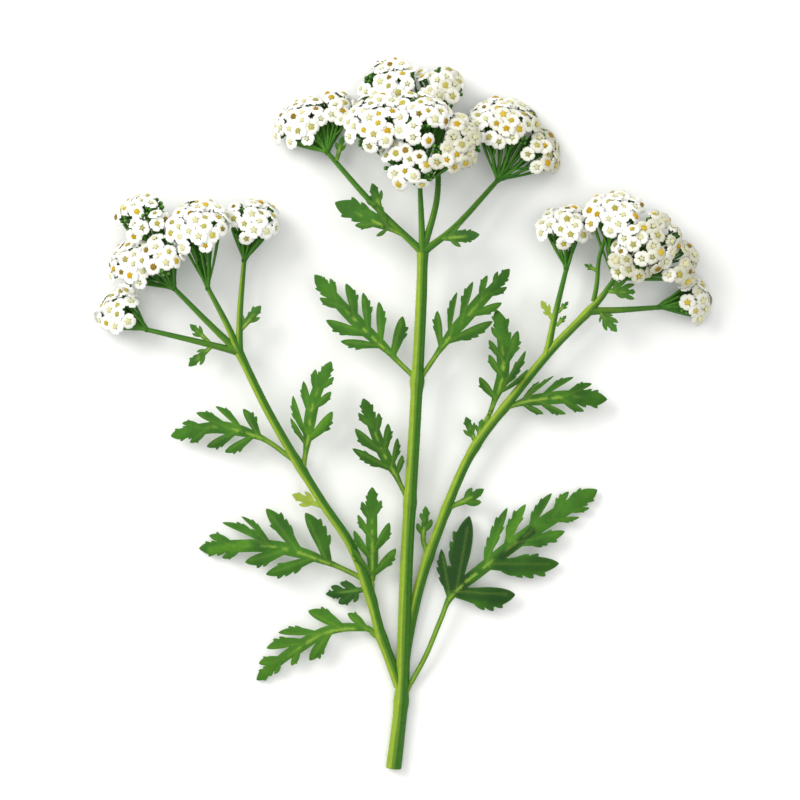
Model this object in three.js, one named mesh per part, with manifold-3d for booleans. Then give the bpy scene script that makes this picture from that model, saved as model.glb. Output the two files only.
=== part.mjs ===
// Yarrow (Achillea millefolium): one cut plant lying on its back on a flat surface.
// Millimetres. +Y runs from the cut end to the flower heads, +Z points up from the surface.
import * as THREE from 'three';
import { mergeVertices } from 'three/addons/utils/BufferGeometryUtils.js';
import Module from 'manifold-3d';

const wasm = await Module();
wasm.setup();

// ---- driving dimensions ----
const SEED = 10;
const GAP = 0.32; // clearance between neighbouring pieces
const WELD = 0.003; // corners closer than this are one
const SIMPLIFY = 0.08; // a joined surface may be evened out by this much

const STEM_SIDES = 8;
const TWIG_SIDES = 5;
const TWIG_RADII = [1.45, 0.95];
const STEM_STEP = 16; // length of one straight stretch of stem

const BLADE = 0.9; // thickness of a leaf blade
const RIB_TOP = 0.25; // how far the midrib stands out above the blade
const RIB_UNDER = 0.55; // and below it
const BLADE_STEP = 11; // spacing of the points along a midrib
const STALK_HALF = 1.05; // half width of a leaf stalk
const LOBE_SWEEP = [1.05, 2.1]; // how far a lobe sweeps forward, per reach: lowest and last
const LOBE_HALF = 0.135; // half width of a lobe, per length
const LOBE_ROOM = 0.4; // and the most that it takes of the room between two lobes
const LOBE_MIDDLE = 0.6; // where a lobe is at its widest, per length
const NOTCH_HALF = [1.9, 2.8]; // half width of the blade at a notch: lowest and last
const NOTCH_REACH = 0.55; // and the most of it, per reach of the lobe beside it
const NOTCH_PLACE = 0.58; // a notch lies this far from one lobe's root towards the next
const WELL_APART = 7; // from root to root, where a plain stretch of blade lies between two lobes
const END = [[0.5, 0.18], [0.28, 0.2], [0.13, 0.11]]; // a blade's end: from its tip, half width, per length
const DROOP = 0.011; // drop of a blade per square of the distance from its midrib
const TOOTHED = 13; // lobes longer than this carry teeth
const PLAIN = 7.5; // lobes shorter than this are plain points
// Points on the two edges of a lobe: share of its length, and half widths from its middle line.
const LOBE_REAR = {
  plain: [[0.6, 0.9]],
  waved: [[0.5, 1], [0.76, 0.9]],
  toothed: [[0.36, 0.85], [0.62, 1.25], [0.63, 0.9], [0.82, 0.95], [0.83, 0.55]],
};
const LOBE_FRONT = {
  plain: [[0.7, 0.8]],
  waved: [[0.8, 0.6], [0.55, 1]],
  toothed: [[0.8, 0.7], [0.5, 1]],
};
const BRACT_HALF = 0.8; // half width of a bract's foot
const BRACT_NOTCH = [0.72, 0.2]; // place of a bract's own lobes, along it and across it, per length
const BRACT_STALK = 0.25; // bare foot of a bract, per length
const BRACT_RISE = 0.12; // climb of a bract, per length

const FLORET_RADIUS = 5.7;
const FLORET_PITCH = 11.8; // spacing of neighbouring florets over a dome
const CROWDED = 8.1; // florets of one head stay at least this far apart
const FLORET_DEPTH = 3.2; // from the rim down to the root in the core
const RAYS = 5;
const RAY_CORNER = THREE.MathUtils.degToRad(23); // half the angle of a ray's blunt end
const NOTCH = { reach: 0.68, drop: 0.35 }; // between two rays: share of the radius, and depth
const DISC_RADIUS = 1.6;
const DISC_FOOT = 0.25; // height of the disc's edge
const DISC_RISE = 1.3;
const DOME_MARGIN = 2.4; // the outer rays reach this far past the surface that the florets stand on
const DOME_RISE = 0.6; // height of a dome, per radius
const DOME_TILT = 1.15; // how far the domes turn up towards the light
const CORE_INSET = 1.7; // the core lies this far below the rims of the florets
const CORE_UNDER = 0.3; // depth of the core's underside, per radius
const JOINT_RADIUS = 2; // thickness of what joins two cores
const JOINT_CLEAR = 3.6; // from its axis to the nearest pedicel's
const OUTER_RING = 0.93; // share of the radius out to which the florets stand
const CUP_RADIUS = 1.4;
const CUP_PITCH = 7.9; // spacing of the pedicels' ends
const CUP_GAP = 0.6; // from a pedicel's end to the core, along the dome's axis
const CUP_RING = 0.85; // share of the core's radius out to which the pedicels reach
const PEDICEL_RADIUS = 0.5;
const PEDICEL_BEND = 0.4; // share of its length over which a pedicel runs straight to its dome
const HUB_RADIUS = 1.7;
const PEDICEL_ROOT = 0.55 * HUB_RADIUS; // pedicels start this far out from the middle of the hub

const CENTRE = [1.7, -0.43]; // middle of the whole outline, which becomes the origin

const COLOURS = {
  stem: { color: 0x71912e, roughness: 0.6 },
  leaf: { color: 0x4f8331, roughness: 0.65 },
  darkLeaf: { color: 0x3f6a2e, roughness: 0.65 },
  spray: { color: 0x3f722a, roughness: 0.65 },
  florets: { color: 0xf6f6ec, roughness: 0.75 },
};

// ---- stems: axis points and radii at the two ends ----
const STEMS = {
  centre: {
    points: [[-2.5, -135.5, 2.6], [-1.2, -125, 2.6], [0.5, -108.5, 3], [2.5, -55.5, 7],
      [5.5, -5, 12], [8, 43.5, 17], [8.5, 61, 18.5]],
    radii: [2.9, 1.9],
  },
  left: {
    points: [[-0.3, -104, 3.2], [-3.5, -95, 3.8], [-7.5, -84, 4.6], [-11.5, -69, 6], [-18.5, -50.5, 7.5],
      [-30, -33, 9], [-49, -1, 11.5], [-61, 23.5, 14]],
    radii: [2.1, 1.5],
  },
  right: {
    points: [[0.8, -102, 3], [2.6, -88, 3.2], [7.5, -65.5, 4], [14, -46, 5.5], [27, -15, 8.5],
      [42.5, 6, 10.5], [57.5, 24.5, 12.5], [71.5, 39, 14.5]],
    radii: [2.1, 1.5],
  },
};

// ---- flower heads: one hub each, with the domes that its florets cover: x, y, z, radius ----
const HEADS = [
  { name: 'centre_left', hub: [-27.5, 99, 14], stem: 'centre', via: [[-9.5, 78.5, 17]], rests: true,
    domes: [[-37, 110, 12, 13], [-25, 115, 12, 10.5]] },
  { name: 'centre_back', hub: [14, 103, 12], stem: 'centre', via: [[14, 82, 16]],
    domes: [[-4, 122.5, 14, 14.5], [14, 123, 13, 12]] },
  { name: 'centre_front', hub: [7.5, 86, 19], stem: 'centre', via: [[8, 74, 19]],
    domes: [[-9, 108, 30, 13.5], [7, 109, 32, 13], [4.5, 94, 31, 13], [18, 101, 30, 14]] },
  { name: 'centre_right', hub: [37, 88.5, 14], stem: 'centre', via: [[20, 70, 17]], rests: true,
    domes: [[38.5, 108.5, 14, 15.5], [51, 100, 12, 12.5]] },
  { name: 'left_low', hub: [-96, 32, 11], stem: 'left', via: [[-75, 27, 13]], rests: true,
    domes: [[-106.5, 38.5, 9, 11]] },
  { name: 'left_outer', hub: [-85.5, 47.5, 13], stem: 'left', via: [[-69, 31, 14]],
    domes: [[-99.5, 57, 14, 13], [-97, 73.5, 18, 12], [-89, 59, 25, 10]] },
  { name: 'left_inner', hub: [-72.5, 47.5, 17], stem: 'left', via: [[-65, 33, 15.5]],
    domes: [[-75.5, 69.5, 24, 13.5]] },
  { name: 'left_near', hub: [-59, 58, 14], stem: 'left', via: [[-60.5, 40, 14]],
    domes: [[-56.5, 72, 14, 12.5]] },
  { name: 'right_near', hub: [63, 55, 13], stem: 'right', via: [[58.5, 36.5, 13]], from: 0.84,
    domes: [[63, 70, 12, 12.5]] },
  { name: 'right_main', hub: [81, 51, 15], stem: 'right', via: [[76, 44, 15]],
    domes: [[80.5, 74, 19, 13], [93.5, 65, 21, 14.5], [104, 57, 18, 11], [86.5, 58, 22, 10.5]] },
  { name: 'right_low', hub: [98, 40.5, 11], stem: 'right', via: [[84, 39.5, 13]], rests: true,
    domes: [[111, 43.5, 8, 10.5]] },
];

// ---- leaves: midrib from the stem to the tip, bare stalk, and for each lobe its tip and,
// where the usual sweep doesn't fit, the point on the midrib that it grows from ----
const LEAVES = [
  { name: 'leaf_centre_upper_left', stem: 'centre', rib: [[4, 13.5], [-3, 22], [-17, 35.5], [-32.5, 53]],
    lobes: [[-22.5, 27.5, -7.5, 25.5], [-28, 35.5], [-30.5, 44], [1, 37, -3, 22], [-8, 42.5, -7.5, 26.5],
      [-14, 46, -12, 30.5], [-20.5, 49.5], [-26.5, 51.5]],
    stalk: 7, arch: 6, tip: 9 },
  { name: 'leaf_centre_upper_right', stem: 'centre', rib: [[8, 11.5], [17.5, 27.5], [29, 41], [41.5, 55]],
    lobes: [[14, 39, 15.5, 25], [21.5, 46, 19, 29.5], [27.5, 50, 23, 34], [33, 52.5], [37, 54],
      [35, 35, 17.5, 27.5], [38.5, 42], [40.5, 48]],
    stalk: 9, arch: 5, tip: 14 },
  { name: 'leaf_centre_mid_left', stem: 'centre', rib: [[2, -33.5], [-2, -22.5], [-7.5, -12], [-14, 6]],
    lobes: [[-18, -13, -3, -21], [-17, -5.5], [-15.8, 0.5], [1, -15.5, -1.5, -23.5], [-1, -9, -3.5, -20],
      [-4.5, -3.5], [-8, 0.5]],
    stalk: 6, arch: 4, tip: 16 },
  { name: 'leaf_left_upper', stem: 'left', rib: [[-39, -18], [-53, -9], [-70, -5], [-87.5, -8.5]],
    lobes: [[-59.5, 2, -53.5, -9], [-70, 3, -60, -7], [-77.5, 0.5], [-83, -3.5], [-66.5, -14.5, -56, -8.5],
      [-73.5, -12.5], [-80, -11]],
    stalk: 12, arch: 4, tip: 6 },
  { name: 'leaf_left_inner', stem: 'left', rib: [[-34.5, -20.5], [-35, -10], [-32.5, 5], [-26, 20]],
    lobes: [[-41.5, -1.5, -35, -12], [-40.5, 7], [-36.5, 12.5], [-32, 17], [-25.5, 1, -35, -9.5], [-26, 8.5],
      [-25, 14]],
    stalk: 4, arch: 3, tip: 14 },
  { name: 'leaf_left_large', stem: 'left', rib: [[-15.5, -64], [-26.5, -57], [-48, -50.5], [-77, -51.5]],
    lobes: [[-36, -37.5, -27.5, -56.5], [-51, -36, -38.5, -53], [-60.5, -39, -49, -51], [-68, -41.5],
      [-73, -46.5], [-51, -61, -33, -54.5], [-59, -56.5, -43, -51.5], [-68, -55]],
    stalk: 10, arch: 7, tip: 1.6 },
  { name: 'leaf_left_upright', stem: 'left', rib: [[-10, -70.5], [-10.5, -61], [-10.5, -44], [-10.5, -27.5]],
    lobes: [[-18.5, -50.5, -10.5, -64], [-17.5, -44], [-16, -38], [-14.5, -33], [-1.5, -51, -10.5, -63],
      [-4, -41], [-7, -32.5]],
    stalk: 3, arch: 3, tip: 17 },
  { name: 'leaf_left_dark', stem: 'left', rib: [[-14, -67.5], [-18, -67.5], [-28.5, -69]],
    lobes: [[-23, -64.5], [-26.5, -66], [-17.5, -72], [-23.5, -72.5]],
    stalk: 2, arch: 1, tip: 2.5, dark: true },
  { name: 'leaf_left_low', stem: 'left', rib: [[-7, -86], [-14, -82], [-31, -84.5], [-55, -102]],
    lobes: [[-20, -76, -13, -82.5], [-35, -75, -21.5, -82], [-46.5, -83.5, -30, -84], [-51, -89.5],
      [-54, -95.5], [-34.5, -94, -27, -83], [-41.5, -96], [-48, -99.5]],
    stalk: 3.5, arch: 5, tip: 1.5 },
  { name: 'leaf_right_upright', stem: 'right', rib: [[28.5, -12.5], [34.5, 1], [39, 17], [36.5, 39.5]],
    lobes: [[30, 14, 36.5, 5], [33.5, 22.5], [33.5, 28], [34.5, 33], [48.5, 17, 37, 8], [47.5, 24],
      [44.5, 31.5]],
    stalk: 8, arch: 4, tip: 16 },
  { name: 'leaf_right_upper', stem: 'right', rib: [[40.5, 1.5], [49.5, 5], [64, 6.5], [79, 5.5]],
    lobes: [[53, 12.5], [58.5, 14.5], [66, 14], [73, 11.5], [54.5, 0], [63, 0], [70, 1]],
    stalk: 3, arch: 3, tip: 7 },
  { name: 'leaf_right_basal', stem: 'centre',
    rib: [[2.5, -110], [10, -92], [15.5, -78.5], [20, -69], [32.5, -58], [52, -43.5], [75.5, -29]],
    lobes: [[15.8, -51.5, 19, -70], [26.5, -39, 21.5, -67.5], [41, -35.8, 32, -58], [48, -34.4, 40, -51.5],
      [58, -30.3, 49, -45.5], [64.5, -29.6], [44, -69, 22, -68], [60.8, -57.2, 34, -57],
      [63, -44.8, 44, -49], [68.6, -39.5], [72.5, -36]],
    stalk: 35, arch: 5, tip: 3 },
  { name: 'leaf_right_small', stem: 'right', rib: [[19.5, -36.5], [25.5, -32.5], [32, -28.5]],
    lobes: [[27.5, -28], [31, -33.5]],
    stalk: 4, arch: 1, tip: 9 },
  { name: 'leaf_right_inner', stem: 'right', rib: [[10.5, -55], [8.8, -47], [9.8, -35]],
    lobes: [[6.5, -41.5], [7.8, -37.5], [12.2, -40]],
    stalk: 5, arch: 1, tip: 9 },
];

// ---- small bracts fused to the twig they grow from: root, tip, lobe tips, height of the root ----
const BRACTS = [
  { root: [2, 67], tip: [-24.5, 79.5], lobes: [[-9, 67], [-17, 71], [-9, 79]], height: 18.2 },
  { root: [-6.5, 75], tip: [-10.5, 87], lobes: [[-13, 81]], height: 18 },
  { root: [-24, 95.5], tip: [-21.5, 105], lobes: [], height: 16.3 },
  { root: [14.5, 66], tip: [30, 67.5], lobes: [[23, 72], [23, 63]], height: 18.2 },
  { root: [-72, 27], tip: [-79.5, 34], lobes: [], height: 13.3 },
  { root: [-70.5, 26.3], tip: [-80, 18], lobes: [[-77, 23.5]], height: 13.4 },
  { root: [-60.8, 31], tip: [-52.5, 41], lobes: [[-59.5, 37.5]], height: 14 },
  { root: [74.5, 40], tip: [82, 31], lobes: [[76.5, 33]], height: 14.2 },
  { root: [78, 46.5], tip: [88.5, 46.5], lobes: [[84, 49.5]], height: 15.3 },
  { root: [58.3, 35], tip: [53, 43.5], lobes: [[53.5, 38.5]], height: 13 },
  { root: [29, -11.5], tip: [25, -1], lobes: [[24, -6]], height: 8.8 },
  { root: [-28, -36], tip: [-41, -30.5], lobes: [[-38.5, -34.5]], height: 8.8 },
];

// ---- solids ----
function toSolid(geometry) {
  const bare = geometry.clone();
  bare.deleteAttribute('normal');
  bare.deleteAttribute('uv');
  const welded = mergeVertices(bare, 1e-4);
  const index = welded.index.array;
  const triangles = [];
  for (let i = 0; i < index.length; i += 3) {
    const [a, b, c] = [index[i], index[i + 1], index[i + 2]];
    if (a !== b && b !== c && c !== a) triangles.push(a, b, c);
  }
  return new wasm.Manifold(new wasm.Mesh({
    numProp: 3,
    vertProperties: new Float32Array(welded.attributes.position.array),
    triVerts: new Uint32Array(triangles),
  }));
}

// Corners closer than WELD become one, and the slivers between them go.
function toGeometry(solid) {
  const mesh = solid.getMesh();
  const geometry = new THREE.BufferGeometry();
  geometry.setAttribute('position', new THREE.BufferAttribute(new Float32Array(mesh.vertProperties), 3));
  geometry.setIndex(new THREE.BufferAttribute(new Uint32Array(mesh.triVerts), 1));
  const welded = mergeVertices(geometry, WELD);
  const faces = new Map();
  for (let i = 0; i < welded.index.count; i += 3) {
    const face = [0, 1, 2].map((k) => welded.index.getX(i + k));
    if (new Set(face).size < 3) continue;
    const key = [...face].sort((a, b) => a - b).join();
    if (faces.has(key)) faces.delete(key);
    else faces.set(key, face);
  }
  welded.setIndex([...faces.values()].flat());
  return welded;
}

function fuse(geometries) {
  const joined = wasm.Manifold.union(geometries.map(toSolid)).simplify(SIMPLIFY);
  const bodies = joined.decompose();
  bodies.sort((a, b) => b.volume() - a.volume());
  return toGeometry(bodies[0]);
}

// A cylinder bent along a path, with the radius given along it.
function tube(path, radiusAt, sides, steps, turn = Math.PI / sides) {
  const geometry = new THREE.CylinderGeometry(1, 1, 1, sides, steps);
  geometry.rotateY(turn);
  const position = geometry.attributes.position;
  const upright = Math.abs(path.getTangent(0.5).z) > 0.8;
  const lift = upright ? new THREE.Vector3(0, 1, 0) : new THREE.Vector3(0, 0, 1);
  for (let i = 0; i < position.count; i += 1) {
    const along = THREE.MathUtils.clamp(position.getY(i) + 0.5, 0, 1);
    const forward = path.getTangent(along);
    const across = new THREE.Vector3().crossVectors(forward, lift).normalize();
    const up = new THREE.Vector3().crossVectors(across, forward);
    const point = path.getPoint(along)
      .addScaledVector(across, position.getX(i) * radiusAt(along))
      .addScaledVector(up, position.getZ(i) * radiusAt(along));
    position.setXYZ(i, point.x, point.y, point.z);
  }
  return geometry;
}

function vectors(points) {
  return points.map((p) => new THREE.Vector3(...p));
}

function material(name) {
  return new THREE.MeshStandardMaterial({ ...COLOURS[name], metalness: 0 });
}

function meshOf(name, geometry, look) {
  const mesh = new THREE.Mesh(geometry, material(look));
  mesh.name = name;
  return mesh;
}

// ---- stems ----
const stems = {};
for (const [name, { points, radii }] of Object.entries(STEMS)) {
  const path = new THREE.CatmullRomCurve3(vectors(points), false, 'centripetal');
  stems[name] = { path, radiusAt: (u) => THREE.MathUtils.lerp(radii[0], radii[1], u) };
}

function nearestOn(stem, x, y) {
  let best = { distance: Infinity };
  const samples = 400;
  for (let i = 0; i <= samples; i += 1) {
    const u = i / samples;
    const point = stem.path.getPoint(u);
    const distance = Math.hypot(point.x - x, point.y - y);
    if (distance < best.distance) best = { distance, point, u };
  }
  return { ...best, tangent: stem.path.getTangent(best.u), radius: stem.radiusAt(best.u) };
}

// The underside of the cut end is flat where it rests on the surface.
function mainStem({ path, radiusAt }) {
  const steps = Math.ceil(path.getLength() / STEM_STEP);
  const geometry = tube(path, radiusAt, STEM_SIDES, steps);
  const position = geometry.attributes.position;
  for (let i = 0; i < position.count; i += 1) position.setZ(i, Math.max(position.getZ(i), 0));
  return geometry;
}

// The twig from a stem to the hub of one head stops a gap short of the hub.
function twig(head) {
  const stem = stems[head.stem];
  const root = stem.path.getPoint(head.from ?? 1);
  const hub = new THREE.Vector3(...head.hub);
  const last = new THREE.Vector3(...head.via.at(-1));
  const end = hub.clone().addScaledVector(hub.clone().sub(last).normalize(), -HUB_RADIUS - GAP);
  const path = new THREE.CatmullRomCurve3([root, ...vectors(head.via), end], false, 'centripetal');
  return tube(path, (u) => THREE.MathUtils.lerp(TWIG_RADII[0], TWIG_RADII[1], u), TWIG_SIDES, 2);
}

// ---- blades ----
function ribFrame(rib) {
  const curve = new THREE.SplineCurve(rib.map((p) => new THREE.Vector2(...p)));
  const length = curve.getLength();
  const samples = 120;
  return {
    length,
    point: (distance) => curve.getPointAt(THREE.MathUtils.clamp(distance / length, 0, 1)),
    across: (distance) => {
      const t = curve.getTangentAt(THREE.MathUtils.clamp(distance / length, 0, 1));
      return new THREE.Vector2(-t.y, t.x);
    },
    // distance along the rib and signed distance from it
    locate(p) {
      let best = { gap: Infinity };
      for (let i = 0; i <= samples; i += 1) {
        const q = curve.getPointAt(i / samples);
        const gap = q.distanceTo(p);
        if (gap < best.gap) best = { gap, along: (i / samples) * length, q };
      }
      const side = Math.sign(this.across(best.along).dot(p.clone().sub(best.q))) || 1;
      return { along: best.along, off: side * best.gap };
    },
  };
}

// The points round one lobe, from the side that faces the stalk to its front.
function lobePoints(frame, lobe, toothed) {
  const root = frame.point(lobe.root);
  const along = lobe.tip.clone().sub(root).normalize();
  const forward = frame.across(lobe.root).rotateAround(new THREE.Vector2(), -Math.PI / 2);
  const across = forward.addScaledVector(along, -forward.dot(along)).normalize();
  const at = (side) => ([share, halves]) => root.clone()
    .addScaledVector(along, share * lobe.length)
    .addScaledVector(across, side * halves * lobe.half);
  const waved = lobe.length < TOOTHED ? 'waved' : 'toothed';
  const kind = lobe.length < PLAIN || !toothed ? 'plain' : waved;
  return [...LOBE_REAR[kind].map(at(-1)), lobe.tip, ...LOBE_FRONT[kind].map(at(1))];
}

// What lies between two lobes: one notch, or a plain stretch of blade where they stand well apart.
function between(frame, lobe, next, start) {
  const share = THREE.MathUtils.clamp((lobe.root - start) / (frame.length - start), 0, 1);
  const reach = Math.min(Math.abs(lobe.off), Math.abs(next.off));
  const depth = Math.min(THREE.MathUtils.lerp(NOTCH_HALF[0], NOTCH_HALF[1], share), NOTCH_REACH * reach);
  const front = lobe.root + lobe.foot + lobe.sweep * depth;
  const rear = next.root - next.foot + next.sweep * depth;
  if (next.root - lobe.root > WELL_APART) return [[front, depth], [rear, depth]];
  return [[THREE.MathUtils.lerp(lobe.root, next.root, NOTCH_PLACE) + next.sweep * depth, depth]];
}

// One edge of a blade, from the foot to the tip, on the side given by its sign.
function bladeEdge(frame, lobes, side, half, toothed) {
  const offset = ([distance, width]) => frame.point(distance)
    .addScaledVector(frame.across(distance), side * Math.max(width, half));
  const mine = lobes.filter((lobe) => Math.sign(lobe.off) === side);
  const start = mine[0].root;
  const edge = [];
  const foot = start - mine[0].foot;
  if (foot > BLADE) edge.push(offset([foot, half]));
  mine.forEach((lobe, i) => {
    edge.push(...lobePoints(frame, lobe, toothed));
    const next = mine[i + 1];
    if (next) edge.push(...between(frame, lobe, next, start).map(offset));
  });
  const last = mine.at(-1);
  const end = frame.length - last.root - last.foot;
  const depth = Math.min(NOTCH_HALF[1], NOTCH_REACH * Math.abs(last.off));
  edge.push(offset([frame.length - end + last.sweep * depth, depth]));
  const ending = toothed ? END : END.slice(0, 1);
  edge.push(...ending.map(([back, width]) => offset([frame.length - back * end, width * end])));
  return edge;
}

// Distance of a point from the straight stretch between two others.
function distanceFrom(a, b, point) {
  const way = b.clone().sub(a);
  const share = THREE.MathUtils.clamp(point.clone().sub(a).dot(way) / way.lengthSq(), 0, 1);
  return a.clone().addScaledVector(way, share).distanceTo(point);
}

// The lobes in their order along the midrib, each as wide as its neighbours on its side leave it.
function lobeList(frame, tips, stalk) {
  const lobes = tips.map(([x, y, ...rootPoint]) => {
    const tip = new THREE.Vector2(x, y);
    const { along, off } = frame.locate(tip);
    const reach = Math.abs(off);
    const usual = along - reach * THREE.MathUtils.lerp(LOBE_SWEEP[0], LOBE_SWEEP[1], along / frame.length);
    const given = rootPoint.length > 0 ? frame.locate(new THREE.Vector2(...rootPoint)).along : usual;
    const root = Math.max(given, stalk);
    return { tip, off, root, length: frame.point(root).distanceTo(tip), sweep: (along - root) / reach };
  });
  lobes.sort((a, b) => a.root - b.root);
  for (const lobe of lobes) {
    const others = lobes.filter((other) => other !== lobe && other.off * lobe.off > 0);
    const middle = frame.point(lobe.root).lerp(lobe.tip, LOBE_MIDDLE);
    const rooms = others.map((other) => distanceFrom(frame.point(other.root), other.tip, middle));
    const room = Math.min(...rooms, Infinity);
    lobe.half = Math.min(LOBE_HALF * lobe.length, Math.max(LOBE_ROOM * room, BLADE));
    lobe.foot = (lobe.half * lobe.length) / Math.abs(lobe.off);
  }
  return lobes;
}

function triangulate(contour, points, triangles) {
  for (const face of THREE.ShapeUtils.triangulateShape(contour.map((i) => points[i]), [])) {
    const [a, b, c] = face.map((i) => contour[i]);
    const area = (points[b].x - points[a].x) * (points[c].y - points[a].y)
      - (points[c].x - points[a].x) * (points[b].y - points[a].y);
    triangles.push(area > 0 ? [a, b, c] : [a, c, b]);
  }
}

// A thin closed blade: the same triangles above and below, and a wall round the edge.
function blade({ rib, foot, lobes, stalk, heightAt, half, toothed = true }) {
  const frame = ribFrame(rib);
  const tips = lobeList(frame, lobes, stalk);
  const steps = Math.max(2, Math.round(frame.length / BLADE_STEP));
  const points = [];
  const add = (p) => points.push(p) - 1;
  const middle = [add(foot[0])];
  for (let i = 1; i < steps; i += 1) middle.push(add(frame.point((i / steps) * frame.length)));
  middle.push(add(frame.point(frame.length)));
  const ribPoints = new Set(middle.slice(0, -1));
  const triangles = [];
  for (const side of [1, -1]) {
    const corner = add(side > 0 ? foot[1] : foot[2]);
    const edge = [corner, ...bladeEdge(frame, tips, side, half, toothed).map(add)];
    triangulate([...middle, ...edge.reverse()], points, triangles);
  }
  const position = [];
  for (const level of [1, -1]) {
    points.forEach((p, i) => {
      const rise = ribPoints.has(i) ? (level > 0 ? RIB_TOP : -RIB_UNDER) : 0;
      position.push(p.x, p.y, heightAt(p, frame) + (level * BLADE) / 2 + rise);
    });
  }
  const n = points.length;
  const edges = new Set(triangles.flatMap(([a, b, c]) => [`${a},${b}`, `${b},${c}`, `${c},${a}`]));
  const index = [];
  for (const [a, b, c] of triangles) {
    index.push(a, b, c, a + n, c + n, b + n);
    for (const [p, q] of [[a, b], [b, c], [c, a]]) {
      if (!edges.has(`${q},${p}`)) index.push(p, p + n, q + n, p, q + n, q);
    }
  }
  const geometry = new THREE.BufferGeometry();
  geometry.setAttribute('position', new THREE.Float32BufferAttribute(position, 3));
  geometry.setIndex(index);
  return geometry;
}

// The foot of a leaf stalk is cut to the side of its stem, a gap away from it.
function leafFoot(leaf, stem) {
  const on = nearestOn(stem, ...leaf.rib[0]);
  const axis = new THREE.Vector2(on.point.x, on.point.y);
  const stemWay = new THREE.Vector2(on.tangent.x, on.tangent.y).normalize();
  const stalkWay = new THREE.Vector2(...leaf.rib[1]).sub(axis).normalize();
  const across = new THREE.Vector2(-stalkWay.y, stalkWay.x);
  const turn = stemWay.cross(stalkWay);
  const clear = Math.sign(turn) * (on.radius + GAP);
  const reach = (offset) => {
    const run = (clear - offset * stemWay.cross(across)) / turn;
    return axis.clone().addScaledVector(across, offset).addScaledVector(stalkWay, run);
  };
  return { points: [reach(0), reach(STALK_HALF), reach(-STALK_HALF)], height: on.point.z };
}

function leafMesh(leaf) {
  const foot = leafFoot(leaf, stems[leaf.stem]);
  const rib = [foot.points[0].toArray(), ...leaf.rib.slice(1)];
  const heightAt = (p, frame) => {
    const { along, off } = frame.locate(p);
    const share = along / frame.length;
    const level = THREE.MathUtils.lerp(foot.height, leaf.tip, share);
    return level + leaf.arch * Math.sin(Math.PI * share) - DROOP * off ** 2;
  };
  const geometry = blade({ ...leaf, rib, foot: foot.points, heightAt, half: STALK_HALF });
  return meshOf(leaf.name, geometry, leaf.dark ? 'darkLeaf' : 'leaf');
}

function bract({ root, tip, lobes, height }) {
  const half = BRACT_HALF;
  const start = new THREE.Vector2(...root);
  const end = new THREE.Vector2(...tip);
  const way = end.clone().sub(start).normalize();
  const across = new THREE.Vector2(-way.y, way.x);
  const foot = [0, half, -half].map((offset) => start.clone().addScaledVector(across, offset));
  const bend = start.clone().lerp(end, 0.5);
  const tips = [...lobes];
  const length = start.distanceTo(end);
  for (const side of [1, -1]) {
    const taken = lobes.some((p) => Math.sign(new THREE.Vector2(...p).sub(start).dot(across)) === side);
    const point = start.clone().lerp(end, BRACT_NOTCH[0]);
    if (!taken) tips.push(point.addScaledVector(across, side * length * BRACT_NOTCH[1]).toArray());
  }
  const heightAt = (p) => height + BRACT_RISE * start.distanceTo(p);
  const rib = [root, bend.toArray(), tip];
  return blade({ rib, foot, lobes: tips, stalk: length * BRACT_STALK, heightAt, half, toothed: false });
}

// ---- flower heads ----
function seededRandom(seed) {
  let state = seed;
  return () => {
    state = (state * 1664525 + 1013904223) % 4294967296;
    return state / 4294967296;
  };
}

// Five broad blunt rays round a raised disc, closed below by a shallow cone.
function floretGeometry() {
  const position = [0, 0, -FLORET_DEPTH];
  const rim = RAYS * 3;
  for (let k = 0; k < RAYS; k += 1) {
    const middle = (k * 2 * Math.PI) / RAYS;
    const ends = [[-RAY_CORNER, 1, 0], [RAY_CORNER, 1, 0], [Math.PI / RAYS, NOTCH.reach, -NOTCH.drop]];
    for (const [angle, reach, z] of ends) {
      const r = FLORET_RADIUS * reach;
      position.push(r * Math.cos(middle + angle), r * Math.sin(middle + angle), z);
    }
  }
  for (let k = 0; k < RAYS; k += 1) {
    const a = (k * 2 * Math.PI) / RAYS;
    position.push(DISC_RADIUS * Math.cos(a), DISC_RADIUS * Math.sin(a), DISC_FOOT);
  }
  position.push(0, 0, DISC_RISE);
  const top = rim + RAYS + 1;
  const index = [];
  for (let k = 0; k < RAYS; k += 1) {
    const [a, b, c] = [1 + 3 * k, 2 + 3 * k, 3 + 3 * k];
    const next = 1 + ((3 * k + 3) % rim);
    const disc = rim + 1 + k;
    const nextDisc = rim + 1 + ((k + 1) % RAYS);
    index.push(0, b, a, 0, c, b, 0, next, c);
    index.push(disc, a, b, disc, b, c, disc, c, nextDisc, nextDisc, c, next);
    index.push(disc, nextDisc, top);
  }
  const geometry = new THREE.BufferGeometry();
  geometry.setAttribute('position', new THREE.Float32BufferAttribute(position, 3));
  geometry.setIndex(index);
  return geometry;
}

// Florets stand on each dome in the golden-angle spiral of a real corymb.
function placeFlorets(domes, placed, random) {
  const florets = [];
  for (const dome of domes) {
    for (const seat of spiral(dome, dome.surface, FLORET_PITCH, OUTER_RING, DOME_RISE)) {
      const inOther = domes.some((d) => d !== dome && covered(d, seat.point));
      const crowded = florets.some((f) => f.point.distanceTo(seat.point) < CROWDED);
      const blocked = placed.some((f) => f.point.distanceTo(seat.point) < 2 * FLORET_RADIUS + GAP);
      if (inOther || crowded || blocked) continue;
      florets.push({ ...seat, spin: random() * 2 * Math.PI });
    }
  }
  return florets;
}

// A head that rests on the surface is lowered until its lowest ray touches it.
function settle(domes, florets) {
  const pieces = [...florets.map(placedFloret), ...domes.map(core)];
  const bottoms = pieces.map((g) => new THREE.Box3().setFromBufferAttribute(g.attributes.position).min.z);
  const lowest = Math.min(...bottoms);
  for (const { point } of florets) point.z -= lowest;
  for (const { centre } of domes) centre.z -= lowest;
}

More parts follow.
